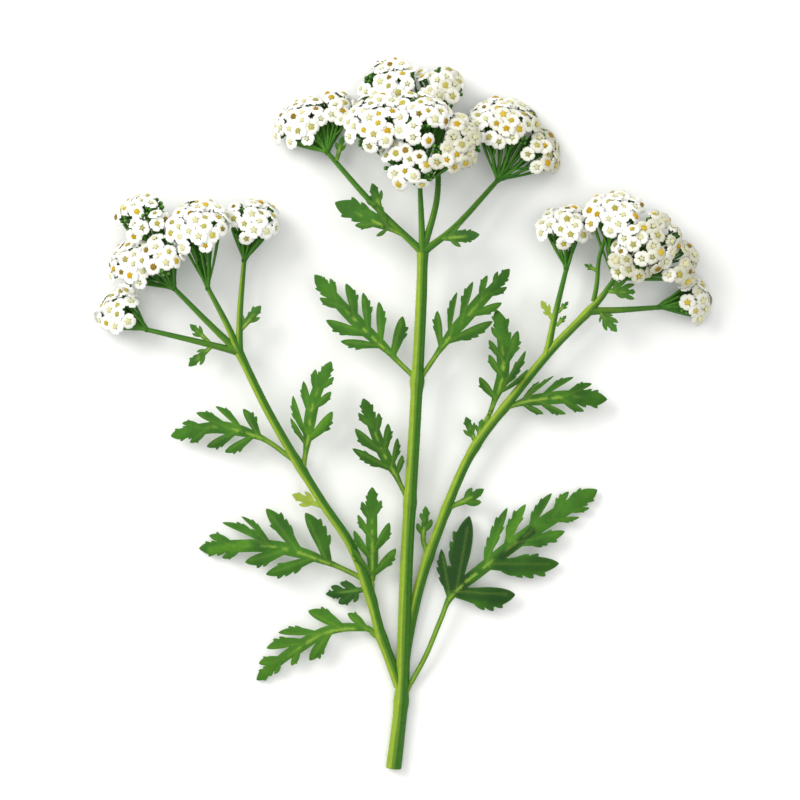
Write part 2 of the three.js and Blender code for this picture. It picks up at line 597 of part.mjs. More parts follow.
function placedFloret({ point, facing, spin }) {
  const turn = new THREE.Quaternion().setFromUnitVectors(new THREE.Vector3(0, 0, 1), facing);
  const geometry = floretGeometry();
  geometry.rotateZ(spin);
  geometry.applyQuaternion(turn);
  geometry.translate(point.x, point.y, point.z);
  return geometry;
}

function makeDome(head, [x, y, z, r]) {
  const centre = new THREE.Vector3(x, y, z);
  const away = centre.clone().sub(new THREE.Vector3(...head.hub)).normalize();
  const up = away.add(new THREE.Vector3(0, 0, DOME_TILT)).normalize();
  const side = new THREE.Vector3(1, 0, 0).cross(up).normalize();
  const fore = side.clone().cross(up);
  return { centre, up, side, fore, surface: r - DOME_MARGIN, core: r - DOME_MARGIN - CORE_INSET };
}

// Seats on a flattened dome of the given radius: rise is its height per radius, negative for the underside.
function spiral(dome, radius, pitch, edge, rise) {
  const area = Math.PI * radius ** 2 * (1 + Math.abs(rise) / 2);
  const count = Math.max(Math.round(area / (0.866 * pitch ** 2)), 3);
  return Array.from({ length: count }, (_, i) => {
    const share = edge * Math.sqrt((i + 0.5) / (count - 0.5));
    const angle = i * Math.PI * (3 - Math.sqrt(5));
    const flat = dome.side.clone().multiplyScalar(Math.cos(angle));
    flat.addScaledVector(dome.fore, Math.sin(angle));
    const lift = Math.sqrt(1 - share ** 2);
    const point = dome.centre.clone().addScaledVector(flat, share * radius)
      .addScaledVector(dome.up, lift * rise * radius);
    const facing = flat.multiplyScalar(share).addScaledVector(dome.up, lift / rise).normalize();
    return { point, facing };
  });
}

// Whether a point lies inside the surface of a dome.
function covered(dome, point) {
  const offset = point.clone().sub(dome.centre);
  const height = offset.dot(dome.up);
  const across = Math.sqrt(Math.max(offset.lengthSq() - height ** 2, 0));
  const rise = height > 0 ? DOME_RISE : CORE_UNDER;
  return Math.hypot(across, height / rise) < dome.surface;
}

// Each dome has a smaller faceted core that its florets are rooted in.
function core(dome) {
  const geometry = new THREE.IcosahedronGeometry(1, 1);
  const position = geometry.attributes.position;
  for (let i = 0; i < position.count; i += 1) {
    const out = new THREE.Vector3().fromBufferAttribute(position, i);
    const height = out.dot(dome.up);
    const rise = height > 0 ? DOME_RISE : CORE_UNDER;
    out.addScaledVector(dome.up, height * (rise - 1)).multiplyScalar(dome.core).add(dome.centre);
    position.setXYZ(i, out.x, out.y, out.z);
  }
  return geometry;
}

function jointLines(domes) {
  return domes.slice(1).map((dome, i) => new THREE.Line3(domes[i].centre, dome.centre));
}

function distanceTo(line, point) {
  return line.closestPointToPoint(point, true, new THREE.Vector3()).distanceTo(point);
}

// The cores of a head's domes are joined by short thick twigs.
function floretBody(domes, florets) {
  const joints = jointLines(domes).map(({ start, end }) => {
    return tube(new THREE.LineCurve3(start, end), () => JOINT_RADIUS, TWIG_SIDES, 1);
  });
  return fuse([...domes.map(core), ...joints, ...florets.map(placedFloret)]);
}

// The pedicels fan out from the hub and flare into cups under the domes.
function sprayBody(head, domes) {
  const hub = new THREE.Vector3(...head.hub);
  const knot = new THREE.OctahedronGeometry(HUB_RADIUS, 1);
  knot.translate(hub.x, hub.y, hub.z);
  const pieces = [knot];
  const joints = jointLines(domes);
  for (const dome of domes) {
    for (const under of spiral(dome, dome.core, CUP_PITCH, CUP_RING, -CORE_UNDER)) {
      const seat = under.point.addScaledVector(dome.up, -CUP_GAP);
      const bend = seat.clone().addScaledVector(dome.up, -PEDICEL_BEND * seat.distanceTo(hub));
      const root = hub.clone().addScaledVector(bend.clone().sub(hub).normalize(), PEDICEL_ROOT);
      const path = new THREE.QuadraticBezierCurve3(root, bend, seat);
      const route = path.getPoints(8);
      const hitsDome = domes.some((d) => d !== dome && route.some((q) => covered(d, q)));
      const hitsJoint = joints.some((line) => route.some((q) => distanceTo(line, q) < JOINT_CLEAR));
      if (hitsDome || hitsJoint) continue;
      pieces.push(tube(path, (u) => (u > 0.9 ? CUP_RADIUS : PEDICEL_RADIUS), 3, 2));
    }
  }
  return fuse(pieces);
}

// ---- the plant ----
const plant = new THREE.Group();
const stemPieces = [...Object.values(stems).map(mainStem), ...HEADS.map(twig), ...BRACTS.map(bract)];
plant.add(meshOf('stem', fuse(stemPieces), 'stem'));
for (const leaf of LEAVES) plant.add(leafMesh(leaf));

const random = seededRandom(SEED);
const placed = [];
for (const head of HEADS) {
  const domes = head.domes.map((dome) => makeDome(head, dome));
  const florets = placeFlorets(domes, placed, random);
  if (head.rests) settle(domes, florets);
  placed.push(...florets);
  plant.add(meshOf(`spray_${head.name}`, sprayBody(head, domes), 'spray'));
  plant.add(meshOf(`florets_${head.name}`, floretBody(domes, florets), 'florets'));
}
plant.position.set(-CENTRE[0], -CENTRE[1], 0);

export default plant;
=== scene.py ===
"""A cut yarrow plant lying on a pale surface, seen from above."""

import math

import bpy
import numpy as np
from numpy.linalg import norm
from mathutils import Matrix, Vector, geometry, noise


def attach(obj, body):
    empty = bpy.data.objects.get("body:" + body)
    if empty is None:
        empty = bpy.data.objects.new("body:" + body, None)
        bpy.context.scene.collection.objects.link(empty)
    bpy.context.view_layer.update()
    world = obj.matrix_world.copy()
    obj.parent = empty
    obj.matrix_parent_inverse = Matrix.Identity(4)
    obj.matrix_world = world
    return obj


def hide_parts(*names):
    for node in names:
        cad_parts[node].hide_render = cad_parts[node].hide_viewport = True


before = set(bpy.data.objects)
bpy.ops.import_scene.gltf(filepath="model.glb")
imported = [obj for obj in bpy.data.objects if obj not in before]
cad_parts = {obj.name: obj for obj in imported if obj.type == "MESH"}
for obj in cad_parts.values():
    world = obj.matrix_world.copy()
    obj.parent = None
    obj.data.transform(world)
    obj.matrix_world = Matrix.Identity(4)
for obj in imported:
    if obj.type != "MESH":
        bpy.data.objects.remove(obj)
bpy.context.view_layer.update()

# ---- frame: sizes below are millimetres in the plant's own axes ----
CENTRE = np.array([1.7, -0.43, 0.0])  # becomes the origin of the frame
GAP = 0.32  # from a leaf stalk to its stem
UP = np.array([0.0, 0.0, 1.0])
TURN = 2 * math.pi

# ---- stems: axis points and radii at the two ends ----
STEMS = dict(
  centre=dict(
    points=[[-2.5, -135.5, 2.6], [-1.2, -125, 2.6], [0.5, -108.5, 3], [2.5, -55.5, 7],
      [5.5, -5, 12], [8, 43.5, 17], [8.5, 61, 18.5]],
    radii=[2.9, 1.9],
 ),
  left=dict(
    points=[[-0.3, -104, 3.2], [-3.5, -95, 3.8], [-7.5, -84, 4.6], [-11.5, -69, 6], [-18.5, -50.5, 7.5],
      [-30, -33, 9], [-49, -1, 11.5], [-61, 23.5, 14]],
    radii=[2.1, 1.5],
 ),
  right=dict(
    points=[[0.8, -102, 3], [2.6, -88, 3.2], [7.5, -65.5, 4], [14, -46, 5.5], [27, -15, 8.5],
      [42.5, 6, 10.5], [57.5, 24.5, 12.5], [71.5, 39, 14.5]],
    radii=[2.1, 1.5],
 ),
)

# ---- flower heads: hub, twig, and domes that the florets cover: x, y, z, radius. Also the painted shade of each dome,
# which greys its florets that face away from the key lamp, the lime of the twig at its foot and end, the share
# of buds, and the number of pedicels in a fan ----
HEADS = [
  dict(name="centre_left", hub=[-27.5, 99, 14], stem="centre", via=[-9.5, 78.5, 17], rests=True,
    domes=[[-37, 110, 12, 13], [-25, 115, 12, 10.5]], shades=[0.1, 0.25]),
  dict(name="centre_back", hub=[14, 103, 12], stem="centre", via=[14, 82, 16], buds=0.28,
    domes=[[-4, 122.5, 14, 14.5], [14, 123, 13, 12]], shades=[0.0, 0.7]),
  dict(name="centre_front", hub=[7.5, 86, 19], stem="centre", via=[8, 74, 19], fan=6, buds=0.13,
    domes=[[-9, 108, 30, 13.5], [7, 109, 32, 13], [4.5, 94, 31, 13], [18, 101, 30, 14]],
    shades=[0.05, 0.15, 0.3, 0.9]),
  dict(name="centre_right", hub=[37, 88.5, 14], stem="centre", via=[20, 70, 17], rests=True, fan=6,
    domes=[[38.5, 108.5, 14, 15.5], [51, 100, 12, 12.5]], shades=[0.65, 0.85]),
  dict(name="left_low", hub=[-96, 32, 11], stem="left", via=[-75, 27, 13], rests=True,
    domes=[[-106.5, 38.5, 9, 11]], shades=[0.05]),
  dict(name="left_outer", hub=[-85.5, 47.5, 13], stem="left", via=[-69, 31, 14], fan=8,
    domes=[[-99.5, 57, 14, 13], [-97, 73.5, 18, 12], [-89, 59, 25, 10]], shades=[0.05, 0.0, 0.05]),
  dict(name="left_inner", hub=[-72.5, 47.5, 17], stem="left", via=[-65, 33, 15.5], fan=6, lime=(1.0, 0.3),
    domes=[[-75.5, 69.5, 24, 13.5]], shades=[0.0]),
  dict(name="left_near", hub=[-59, 58, 14], stem="left", via=[-60.5, 40, 14], lime=(1.0, 0.9), buds=0.18,
    domes=[[-56.5, 72, 14, 12.5]], shades=[0.1]),
  dict(name="right_near", hub=[63, 55, 13], stem="right", via=[58.5, 36.5, 13], start=0.84, fan=8,
    lime=(1.0, 0.0), domes=[[63, 70, 12, 12.5]], shades=[0.3]),
  dict(name="right_main", hub=[81, 51, 15], stem="right", via=[76, 44, 15], fan=4, buds=0.06,
    lime=(1.0, 0.1), domes=[[80.5, 74, 19, 13], [93.5, 65, 21, 14.5], [104, 57, 18, 11], [86.5, 58, 22, 10.5]],
    shades=[0.05, 0.8, 1.0, 1.3]),
  dict(name="right_low", hub=[98, 40.5, 11], stem="right", via=[84, 39.5, 13], rests=True, lime=(0.9, 0.1),
    domes=[[111, 43.5, 8, 10.5]], shades=[0.6]),
]

# ---- leaves: midrib from the stem to the tip, bare stalk, and for each lobe its tip and, where the usual sweep
# doesn't fit, the point on the midrib that it grows from and how wide it is. Then the rise of the middle,
# height of the tip, fullness of the lobes, shade, and tones: a line's two ends, width, and strength, which is
# below 0 for a dark one ----
LEAVES = [
  dict(name="centre_upper_left", stem="centre", rib=[[4, 13.5], [-3, 22], [-17, 35.5], [-32.5, 53]],
    lobes=[[-22.5, 27.5, -7.5, 25.5], [-28, 35.5], [-30.5, 44], [1, 37, -3, 22], [-8, 42.5, -7.5, 26.5],
      [-14, 46, -12, 30.5], [-20.5, 49.5], [-26.5, 51.5]],
    stalk=7, arch=6, tip=9),
  dict(name="centre_upper_right", stem="centre", rib=[[8, 11.5], [17.5, 27.5], [29, 41], [41.5, 55]],
    lobes=[[14, 39, 15.5, 25], [21.5, 46, 19, 29.5], [27.5, 50, 23, 34], [33, 52.5], [37, 54],
      [35, 35, 17.5, 27.5], [38.5, 42], [40.5, 48]],
    stalk=9, arch=5, tip=14, full=0.92, shade=0.88),
  dict(name="centre_mid_left", stem="centre", rib=[[2, -33.5], [-2, -22.5], [-7.5, -12], [-14, 6]],
    lobes=[[-18, -13, -3, -21], [-17, -5.5], [-15.8, 0.5], [1, -15.5, -1.5, -23.5], [-1, -9, -3.5, -20],
      [-4.5, -3.5], [-8, 0.5]],
    stalk=6, arch=4, tip=16, shade=0.78),
  dict(name="left_upper", stem="left", rib=[[-39, -18], [-53, -9], [-70, -5], [-87.5, -8.5]],
    lobes=[[-59.5, 2, -53.5, -9], [-70, 3, -60, -7], [-77.5, 0.5], [-83, -3.5], [-66.5, -14.5, -56, -8.5],
      [-73.5, -12.5], [-80, -11]],
    stalk=12, arch=4, tip=6),
  dict(name="left_inner", stem="left", rib=[[-34.5, -20.5], [-35, -10], [-32.5, 5], [-26, 20]],
    lobes=[[-41.5, -1.5, -35, -12], [-40.5, 7], [-36.5, 12.5], [-32, 17], [-25.5, 1, -35, -9.5], [-26, 8.5],
      [-25, 14]],
    stalk=4, arch=3, tip=14, tones=[[-33, -7, -26, 0.5, 2.4, 1]]),
  dict(name="left_large", stem="left", rib=[[-15.5, -64], [-26.5, -57], [-48, -50.5], [-77, -51.5]],
    lobes=[[-36, -37.5, -27.5, -56.5], [-51, -36, -38.5, -53], [-60.5, -39, -49, -51], [-68, -41.5],
      [-73, -46.5], [-51, -61, -33, -54.5], [-59, -56.5, -43, -51.5], [-68, -55]],
    stalk=10, arch=7, tip=1.6,
    tones=[[-72, -52.2, -58.5, -49.5, 1.7, 1]]),
  dict(name="left_upright", stem="left", rib=[[-10, -70.5], [-10.5, -61], [-10.5, -44], [-10.5, -27.5]],
    lobes=[[-18.5, -50.5, -10.5, -64], [-17.5, -44], [-16, -38], [-14.5, -33], [-1.5, -51, -10.5, -63],
      [-4, -41], [-7, -32.5]],
    stalk=3, arch=3, tip=17),
  dict(name="left_dark", stem="left", rib=[[-14, -67.5], [-18, -67.5], [-28.5, -69]],
    lobes=[[-23, -64.5], [-26.5, -66], [-17.5, -72], [-23.5, -72.5]],
    stalk=2, arch=1, tip=2.5, dark=True, full=1.45),
  dict(name="left_low", stem="left", rib=[[-7, -86], [-14, -82], [-31, -84.5], [-55, -102]],
    lobes=[[-20, -76, -13, -82.5], [-35, -75, -21.5, -82], [-46.5, -83.5, -30, -84], [-51, -89.5],
      [-54, -95.5], [-34.5, -94, -27, -83], [-41.5, -96], [-48, -99.5]],
    stalk=3.5, arch=5, tip=1.5, full=1.15, tones=[[-10, -83, -55, -92, 30, 0.45]]),
  dict(name="right_upright", stem="right", rib=[[28.5, -12.5], [34.5, 1], [39, 17], [36.5, 39.5]],
    lobes=[[30, 14, 36.5, 5], [33.5, 22.5], [33.5, 28], [34.5, 33], [48.5, 17, 37, 8], [47.5, 24],
      [44.5, 31.5]],
    stalk=8, arch=4, tip=16, shade=0.86),
  dict(name="right_upper", stem="right", rib=[[40.5, 1.5], [49.5, 5], [64, 6.5], [79, 5.5]],
    lobes=[[53, 12.5], [58.5, 14.5], [66, 14], [73, 11.5], [54.5, 0], [63, 0], [70, 1]],
    stalk=3, arch=3, tip=7, full=0.8, shade=0.92),
  dict(name="right_basal", stem="centre",
    rib=[[2.5, -110], [10, -92], [15.5, -78.5], [20, -69], [32.5, -58], [52, -43.5], [75.5, -29]],
    lobes=[[15.8, -51.5, 19, -70], [26.5, -39, 21.5, -67.5, 1.35], [41, -35.8, 32, -58],
      [48, -34.4, 40, -51.5], [58, -30.3, 49, -45.5], [64.5, -29.6], [44, -69, 22, -68, 1.35],
      [60.8, -57.2, 34, -57, 1.25], [63, -44.8, 44, -49], [68.6, -39.5], [72.5, -36]],
    stalk=35, arch=5, tip=3, full=0.93,
    tones=[[17, -64, 16, -53, 4, -1], [22, -64, 26.5, -40, 5, -1], [25, -67.5, 44, -69, 4, -0.8],
      [38, -57, 60.5, -57, 3.4, -0.55], [39, -54.5, 50.5, -44.5, 1.6, -0.9], [42, -47.5, 48, -35.5, 2.2, 1]]),
  dict(name="right_small", stem="right", rib=[[19.5, -36.5], [25.5, -32.5], [32, -28.5]],
    lobes=[[27.5, -28], [31, -33.5]],
    stalk=4, arch=1, tip=9, full=1.3),
  dict(name="right_inner", stem="right", rib=[[10.5, -55], [8.8, -47], [9.8, -35]],
    lobes=[[6.5, -41.5], [7.8, -37.5], [12.2, -40]],
    stalk=5, arch=1, tip=9, full=1.3),
]

# ---- small bracts: x and y of the root and of the tip, height, whether it is lime, tips of its lobes ----
BRACTS = [
  (2, 67, -24.5, 79.5, 18.2, False, [-9, 67], [-17, 71], [-9, 79]),
  (-6.5, 75, -10.5, 87, 18, False, [-13, 81]),
  (-24, 95.5, -21.5, 105, 16.3, False),
  (14.5, 66, 30, 67.5, 18.2, False, [23, 72], [23, 63]),
  (-72, 27, -79.5, 34, 13.3, False),
  (-70.5, 26.3, -80, 18, 13.4, False, [-77, 23.5]),
  (-60.8, 31, -52.5, 41, 14, False, [-59.5, 37.5]),
  (74.5, 40, 82, 31, 14.2, False, [75.5, 34.5], [78.2, 31.4], [82.6, 34.5], [80.6, 37.2]),
  (78, 46.5, 89, 46, 15.3, False, [82.3, 51], [85.5, 50.6], [88.6, 49], [85, 43.8], [88.6, 43.4]),
  (74.9, 54, 69.6, 56.6, 15, False),
  (29.4, -10.8, 31.3, -1.8, 8.8, False),
  (58.3, 35, 53.4, 43, 13, True, [54, 38.8]),
  (59.6, 38.3, 63.8, 42.6, 13, False),
  (59, 33.2, 63, 37.3, 13, False),
  (29, -11.5, 25, -1, 8.8, False, [24, -6]),
  (-28, -36, -41, -30.5, 8.8, True, [-38.5, -34.5]),
]

# ---- a second twig below the right main head: axis points, and radii at the two ends ----
SIDE_TWIG = dict(points=[[73.2, 42.6, 14.8], [74.4, 49, 14.6], [75.3, 59, 15.5], [78, 68, 18]],
  radii=[0.95, 0.6])

# ---- stems: sizes, swellings (most, per radius, and reach) and hairs (number and length, per length) ----
RIBS, TWIG_RIBS = (9, 0.045), (7, 0.05)  # number and depth
STEM_SIDES, TWIG_SIDES, SIDE_TWIG_SIDES = 54, 26, 20
RING_STEP = 1.1
TWIG_RADII = (1.35, 0.85)
TWIG_LIME = (0.3, 0.05)  # for heads without their own
NODE_SWELL, END_SWELL, TWIG_FLARE = (0.14, 2.6), (0.16, 3.5), (0.3, 2.5)
STEM_HAIRS, TWIG_HAIRS = (9, 1.1), (7, 0.9)
HAIR_HALF = 0.025
HAIR_SINK = 0.1
CLEAR = 0.02  # hairs and blades keep this far above the surface
CUT_SIDES = 40

# ---- blades ----
STALK_HALF = 0.95
JOINT_RADIUS = 1.02
JOINT_SIDES = 16
BRACT_HALF = 0.7
BRACT_NOTCH = (0.72, 0.2)  # place of a bract's own lobes, along it and across it, per length
BRACT_STALK = 0.25  # bare foot of a bract, per length
BRACT_RISE = 0.12  # climb of a bract, per length
BRACT_SEED = 40
LOBE_SWEEP = (1.05, 2.1)  # how far a lobe sweeps forward, per reach: lowest and last
LOBE_HALF = 0.15  # half width of a lobe without its teeth, per length
LOBE_ROOM = 0.38  # and the most that it takes of the room between two lobes
LOBE_LEAST = 0.95  # and the least half width
LOBE_FOOT = 0.66  # width of a lobe at its foot, per widest
LOBE_MIDDLE = 0.56  # where a lobe is at its widest, per length
LOBE_BOW = (0.02, 0.07)  # how far a lobe bends, per length
NOTCH_HALF = (2.3, 3.3)  # half width of the blade at a notch: lowest and last
NOTCH_REACH = 0.55  # and the most of it, per reach of the lobe beside it
NOTCH_PLACE = 0.58  # a notch lies this far from one lobe's root towards the next
WELL_APART = 7  # from root to root, where a plain stretch of blade lies between two lobes
END = ((0.5, 0.18), (0.28, 0.2), (0.13, 0.115), (0.04, 0.05))  # from the tip, half width: per length of the end
END_SHARP = 2.5  # last length of a blade, which isn't smoothed
TEETH = (24, 17, 11, 7)  # a lobe has a tooth on its rear edge for each of these lengths that it passes
REAR_TEETH, FRONT_TEETH = (0.74, 0.15, 0.36), (0.68, 0.18, 0.26)  # the outermost, from one to the next, size
TOOTH_LENGTH = 0.13  # per length of the lobe
DRAWN_IN = 0.92  # width of a toothed lobe between its teeth, per width of a plain one
END_TEETH, SHORT_END_TEETH, SHORT_END = (0.55, 0.32), (0.35,), 8  # on a blade's end, from its tip
END_TOOTH = (0.055, 0.16)  # size and length, per end's length
DROOP = 0.011  # drop of a blade per square of the distance from its midrib
BLADE, BLADE_EDGE = 0.6, 0.16  # thickness
GRID = 0.85
OUTLINE_STEP, RIB_STEP, VEIN_STEP = 0.5, 0.8, 0.9
VEIN_REACH = 0.85  # per length of the lobe

# ---- flower heads ----
DOME_RISE, DOME_SINK = 0.6, 0.3  # height and depth of a dome, per radius
DOME_TILT = 1.15
DOME_MARGIN = 1.3
DOME_COVER = 0.97  # of a dome hides the florets of its neighbours
FLORET_RADIUS = 3.2
FLORET_PITCH = 4.75
FLORET_KINDS = 5
FLORET_SEED, SPIRAL_SEED = 100, 1
GOLDEN = math.pi * (3 - math.sqrt(5))
SPIRAL_ROOM = 3.5  # least distance between the florets of a spiral
SPARE_ROOM = 4.1  # and of the ones that fill its gaps
HEAD_ROOM = 3.68  # and from one head to the next
SPARE_SEATS = 90
OUTER_RING = 0.97
TOUCH = 0.05  # lowest rays of a resting head above the surface
RAYS, RAY_ROWS, RAY_COLUMNS = 5, 5, 7
RAY_FOOT = 0.85
RAY_THICK = 0.13
DISC_RADII = (0.62, 0.95, 1.15, 0.75, 0.85)
DISC_SIDES, DISC_LEVELS = 14, 4
DISC_FLORETS = 13
DISC_TURN = 2.39996  # from one disc floret to the next
STAR = 5
PALE_SHARE = 0.5  # of the heads have a disc that is still closed and pale
# radius and height
CUP_PROFILE = ((0.95, 0.0), (1.15, -0.7), (1.12, -1.5), (0.9, -2.3), (0.55, -2.95), (0.3, -3.4))
CUP_LENGTH = 3.4
CUP_SIDES = 12
CUP_DROP = 0.08  # below its floret
SCALE_ROWS, SCALES = (-2.75, -1.95, -1.15), 8
SCALE = ((-0.36, 0, 0.02), (0.36, 0, 0.02), (0, 0.5, 0.16), (-0.26, 0.75, 0.06), (0.26, 0.75, 0.06),
         (0, 1.3, 0.12))  # turn, height and how far it stands out, at each corner
SCALE_FACES = ((0, 1, 2), (0, 2, 3), (1, 4, 2), (3, 2, 5), (2, 4, 5))
BUD_SHARE = 0.1  # of the places hold a few green buds
BUD_SIZE = 0.55
BUD_SINK = 1.6  # below the open heads
BUDS = 4  # at one place
BUD_SIDES, BUD_LEVELS = 16, 6
BRANCH_RADII = (0.8, 0.6)
PEDICEL_RADIUS, FAN_RADIUS, BUD_PEDICEL_RADIUS = 0.42, 0.34, 0.25
SECTORS = 4  # of a dome, each on a branch of its own, round its middle
FAN = 15  # more pedicels below each dome
HUB_RADIUS = 1.1
HUB_SIDES, HUB_LEVELS = 16, 10


def srgb(code):
    """A hexadecimal colour as linear red, green and blue."""
    parts = [((code >> shift) & 255) / 255 for shift in (16, 8, 0)]
    return np.array([v / 12.92 if v <= 0.04045 else ((v + 0.055) / 1.055) ** 2.4 for v in parts])


LEAF = srgb(0x37671C)
LEAF_DARK = srgb(0x28511A)
LEAF_LIGHT = srgb(0x467B20)
LEAF_DEEP = srgb(0x1F4116)
LEAF_BRIGHT = srgb(0x4A7C1F)
LEAF_UNDER = srgb(0x6F8A58)
RIB = srgb(0x8CAE3E)
DARK_RIB = srgb(0x5F8A34)
LIME = srgb(0x93A63A)
# pale stem green: the pale ring of the cut end, and the painted lit side of the stems
STEM_PALE_AND_PAINTED_LIT = srgb(0x8DAA33)
STEM_MID = srgb(0x5C7E22)
# painted shade on the side of the stems away from the key lamp
STEM_PAINTED_SHADE = srgb(0x376B1C)
HAIR = srgb(0x8FA860)
CUT = srgb(0xC9D49A)
KNOT = srgb(0x35651C)
# painted shade and painted highlight of the pedicels
PEDICEL_PAINTED_SHADE = srgb(0x30661C)
PEDICEL_PAINTED_LIT = srgb(0x53872B)
CUP = srgb(0x2F6020)
CUP_EDGE = srgb(0x5B8534)
PETAL = srgb(0xFDFDF8)
PETAL_FOOT = srgb(0xE6EAD0)
# painted shade of the petals that face away from the key lamp
PETAL_PAINTED_SHADE = srgb(0xCECCBA)
DISCS = [srgb(code) for code in (0xDDB41C, 0xCFC56A, 0xA8893A, 0xC9C48A, 0xE2C84A, 0xD3CC7C)]
DISC_PALE = srgb(0xEDEDDC)  # of a head whose disc has not opened yet
DISC_FLOOR = (0.8, 0.78, 0.5)
STAR_NECK, STAR_LOBE, STAR_HEART = (0.72, 0.66, 0.3), (1.1, 1.1, 1), (0.6, 0.5, 0.2)
LEAF_TONES, DARK_TONES = (LEAF_DARK, LEAF, LEAF_LIGHT, RIB), (LEAF_DEEP, LEAF_DARK, LEAF, DARK_RIB)
LIME_TONES = (LIME, LIME, RIB, RIB)
# rings of the cut end: radius, per stem's; how far it stands out; colour
CUT_RINGS = ((0.985, 0.0, STEM_MID), (0.9, 0.22, STEM_PALE_AND_PAINTED_LIT), (0.74, 0.2, CUT), (0.66, 0.05, CUT * 1.1),
             (0.3, -0.02, CUT * 1.15))
PITH = (-0.03, CUT * 1.15)


# ---- numbers and ways ----
def mix(a, b, share):
    share = np.asarray(share)[..., None]
    return a * (1 - share) + b * share


def blend(low, high, share):
    return low + (high - low) * share


def unit(v):
    return v / norm(v, axis=-1, keepdims=True)


def smooth(edge0, edge1, x):
    t = np.clip((x - edge0) / (edge1 - edge0), 0, 1)
    return t * t * (3 - 2 * t)


def circle(sides):
    return np.arange(sides) * TURN / sides


def toward(x, y, angle):
    """The way at an angle from one axis to another."""
    return x * math.cos(angle) + y * math.sin(angle)


def around(x, y, angles):
    return x * np.cos(angles)[..., None] + y * np.sin(angles)[..., None]


def threes(*parts):
    """Rows of three from three arrays or numbers: the corners of triangles, or coordinates."""
    return np.stack(np.broadcast_arrays(*parts), -1).reshape(-1, 3)


# ---- meshes ----
class Shape:
    """Points in millimetres, triangles, a colour for each point and a material number for each triangle."""

    def __init__(self):
        self.points, self.triangles, self.colours, self.slots, self.count = [], [], [], [], 0

    def add(self, points, triangles, colours, slots=0):
        self.points.append(np.asarray(points, dtype=float))
        self.triangles.append(np.asarray(triangles, dtype=int) + self.count)
        self.colours.append(np.broadcast_to(colours, np.shape(points)))
        self.slots.append(np.broadcast_to(slots, len(triangles)))
        self.count += len(points)

    def merged(self):
        return [np.concatenate(rows) for rows in (self.points, self.triangles, self.colours, self.slots)]


def make_piece(node, shape, looks, slot, sharp=50):
    """The shape as one mesh, in place of a node of the CAD model."""
    points, triangles, colours, slots = shape.merged()
    points = (points - CENTRE) / 1000
    points[:, 2] = np.maximum(points[:, 2], 0.0)
    mesh = bpy.data.meshes.new("yarrow_" + node)
    mesh.vertices.add(len(points))
    mesh.vertices.foreach_set("co", points.ravel())
    mesh.loops.add(triangles.size)
    mesh.loops.foreach_set("vertex_index", triangles.ravel())
    mesh.polygons.add(len(triangles))
    mesh.polygons.foreach_set("loop_start", np.arange(0, triangles.size, 3))
    mesh.polygons.foreach_set("material_index", slots)
    for look in looks:
        mesh.materials.append(plant_material(look))
    tint = mesh.color_attributes.new("tint", "FLOAT_COLOR", "POINT")
    tint.data.foreach_set("color", np.column_stack([colours, np.ones(len(colours))]).ravel())
    mesh.update(calc_edges=True)
    mesh.validate()
    mesh.shade_smooth()
    mesh.set_sharp_from_angle(angle=math.radians(sharp))
    piece = bpy.data.objects.new("yarrow_" + node, mesh)
    bpy.context.collection.objects.link(piece)
    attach(piece, "root")
    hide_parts(node)


def tube_faces(rings, sides):
    """The wall through rings of points. It faces out where each ring is further back or lower than the last."""
    a = np.arange(rings - 1)[:, None] * sides + np.arange(sides)
    b = np.arange(rings - 1)[:, None] * sides + (np.arange(sides) + 1) % sides
    return np.vstack([threes(b, a, a + sides), threes(b + sides, b, a + sides)])


def lid(hub, start, sides):
    """The triangles between one point and a ring of points."""
    j = np.arange(sides)
    return threes(hub, start + j, start + (j + 1) % sides)


def sheet(top, under, faces, rim):
    """Points and triangles of a thin sheet: its two sides, and the wall along its rim."""
    count = len(top)
    a, b = rim.T
    walls = np.vstack([threes(a, a + count, b), threes(b, a + count, b + count)])
    return np.vstack([top, under]), np.vstack([faces, faces[:, ::-1] + count, walls])


def rim_edges(triangles):
    """The edges that only one triangle has."""
    edges = np.vstack([triangles[:, [0, 1]], triangles[:, [1, 2]], triangles[:, [2, 0]]]).tolist()
    known = {tuple(e) for e in edges}
    return np.array([e for e in edges if (e[1], e[0]) not in known])


def rings_of(profile, angles):
    """Points in rings round the Z axis, one for each radius and height."""
    return np.vstack([threes(r * np.cos(angles), r * np.sin(angles), z) for r, z in profile])


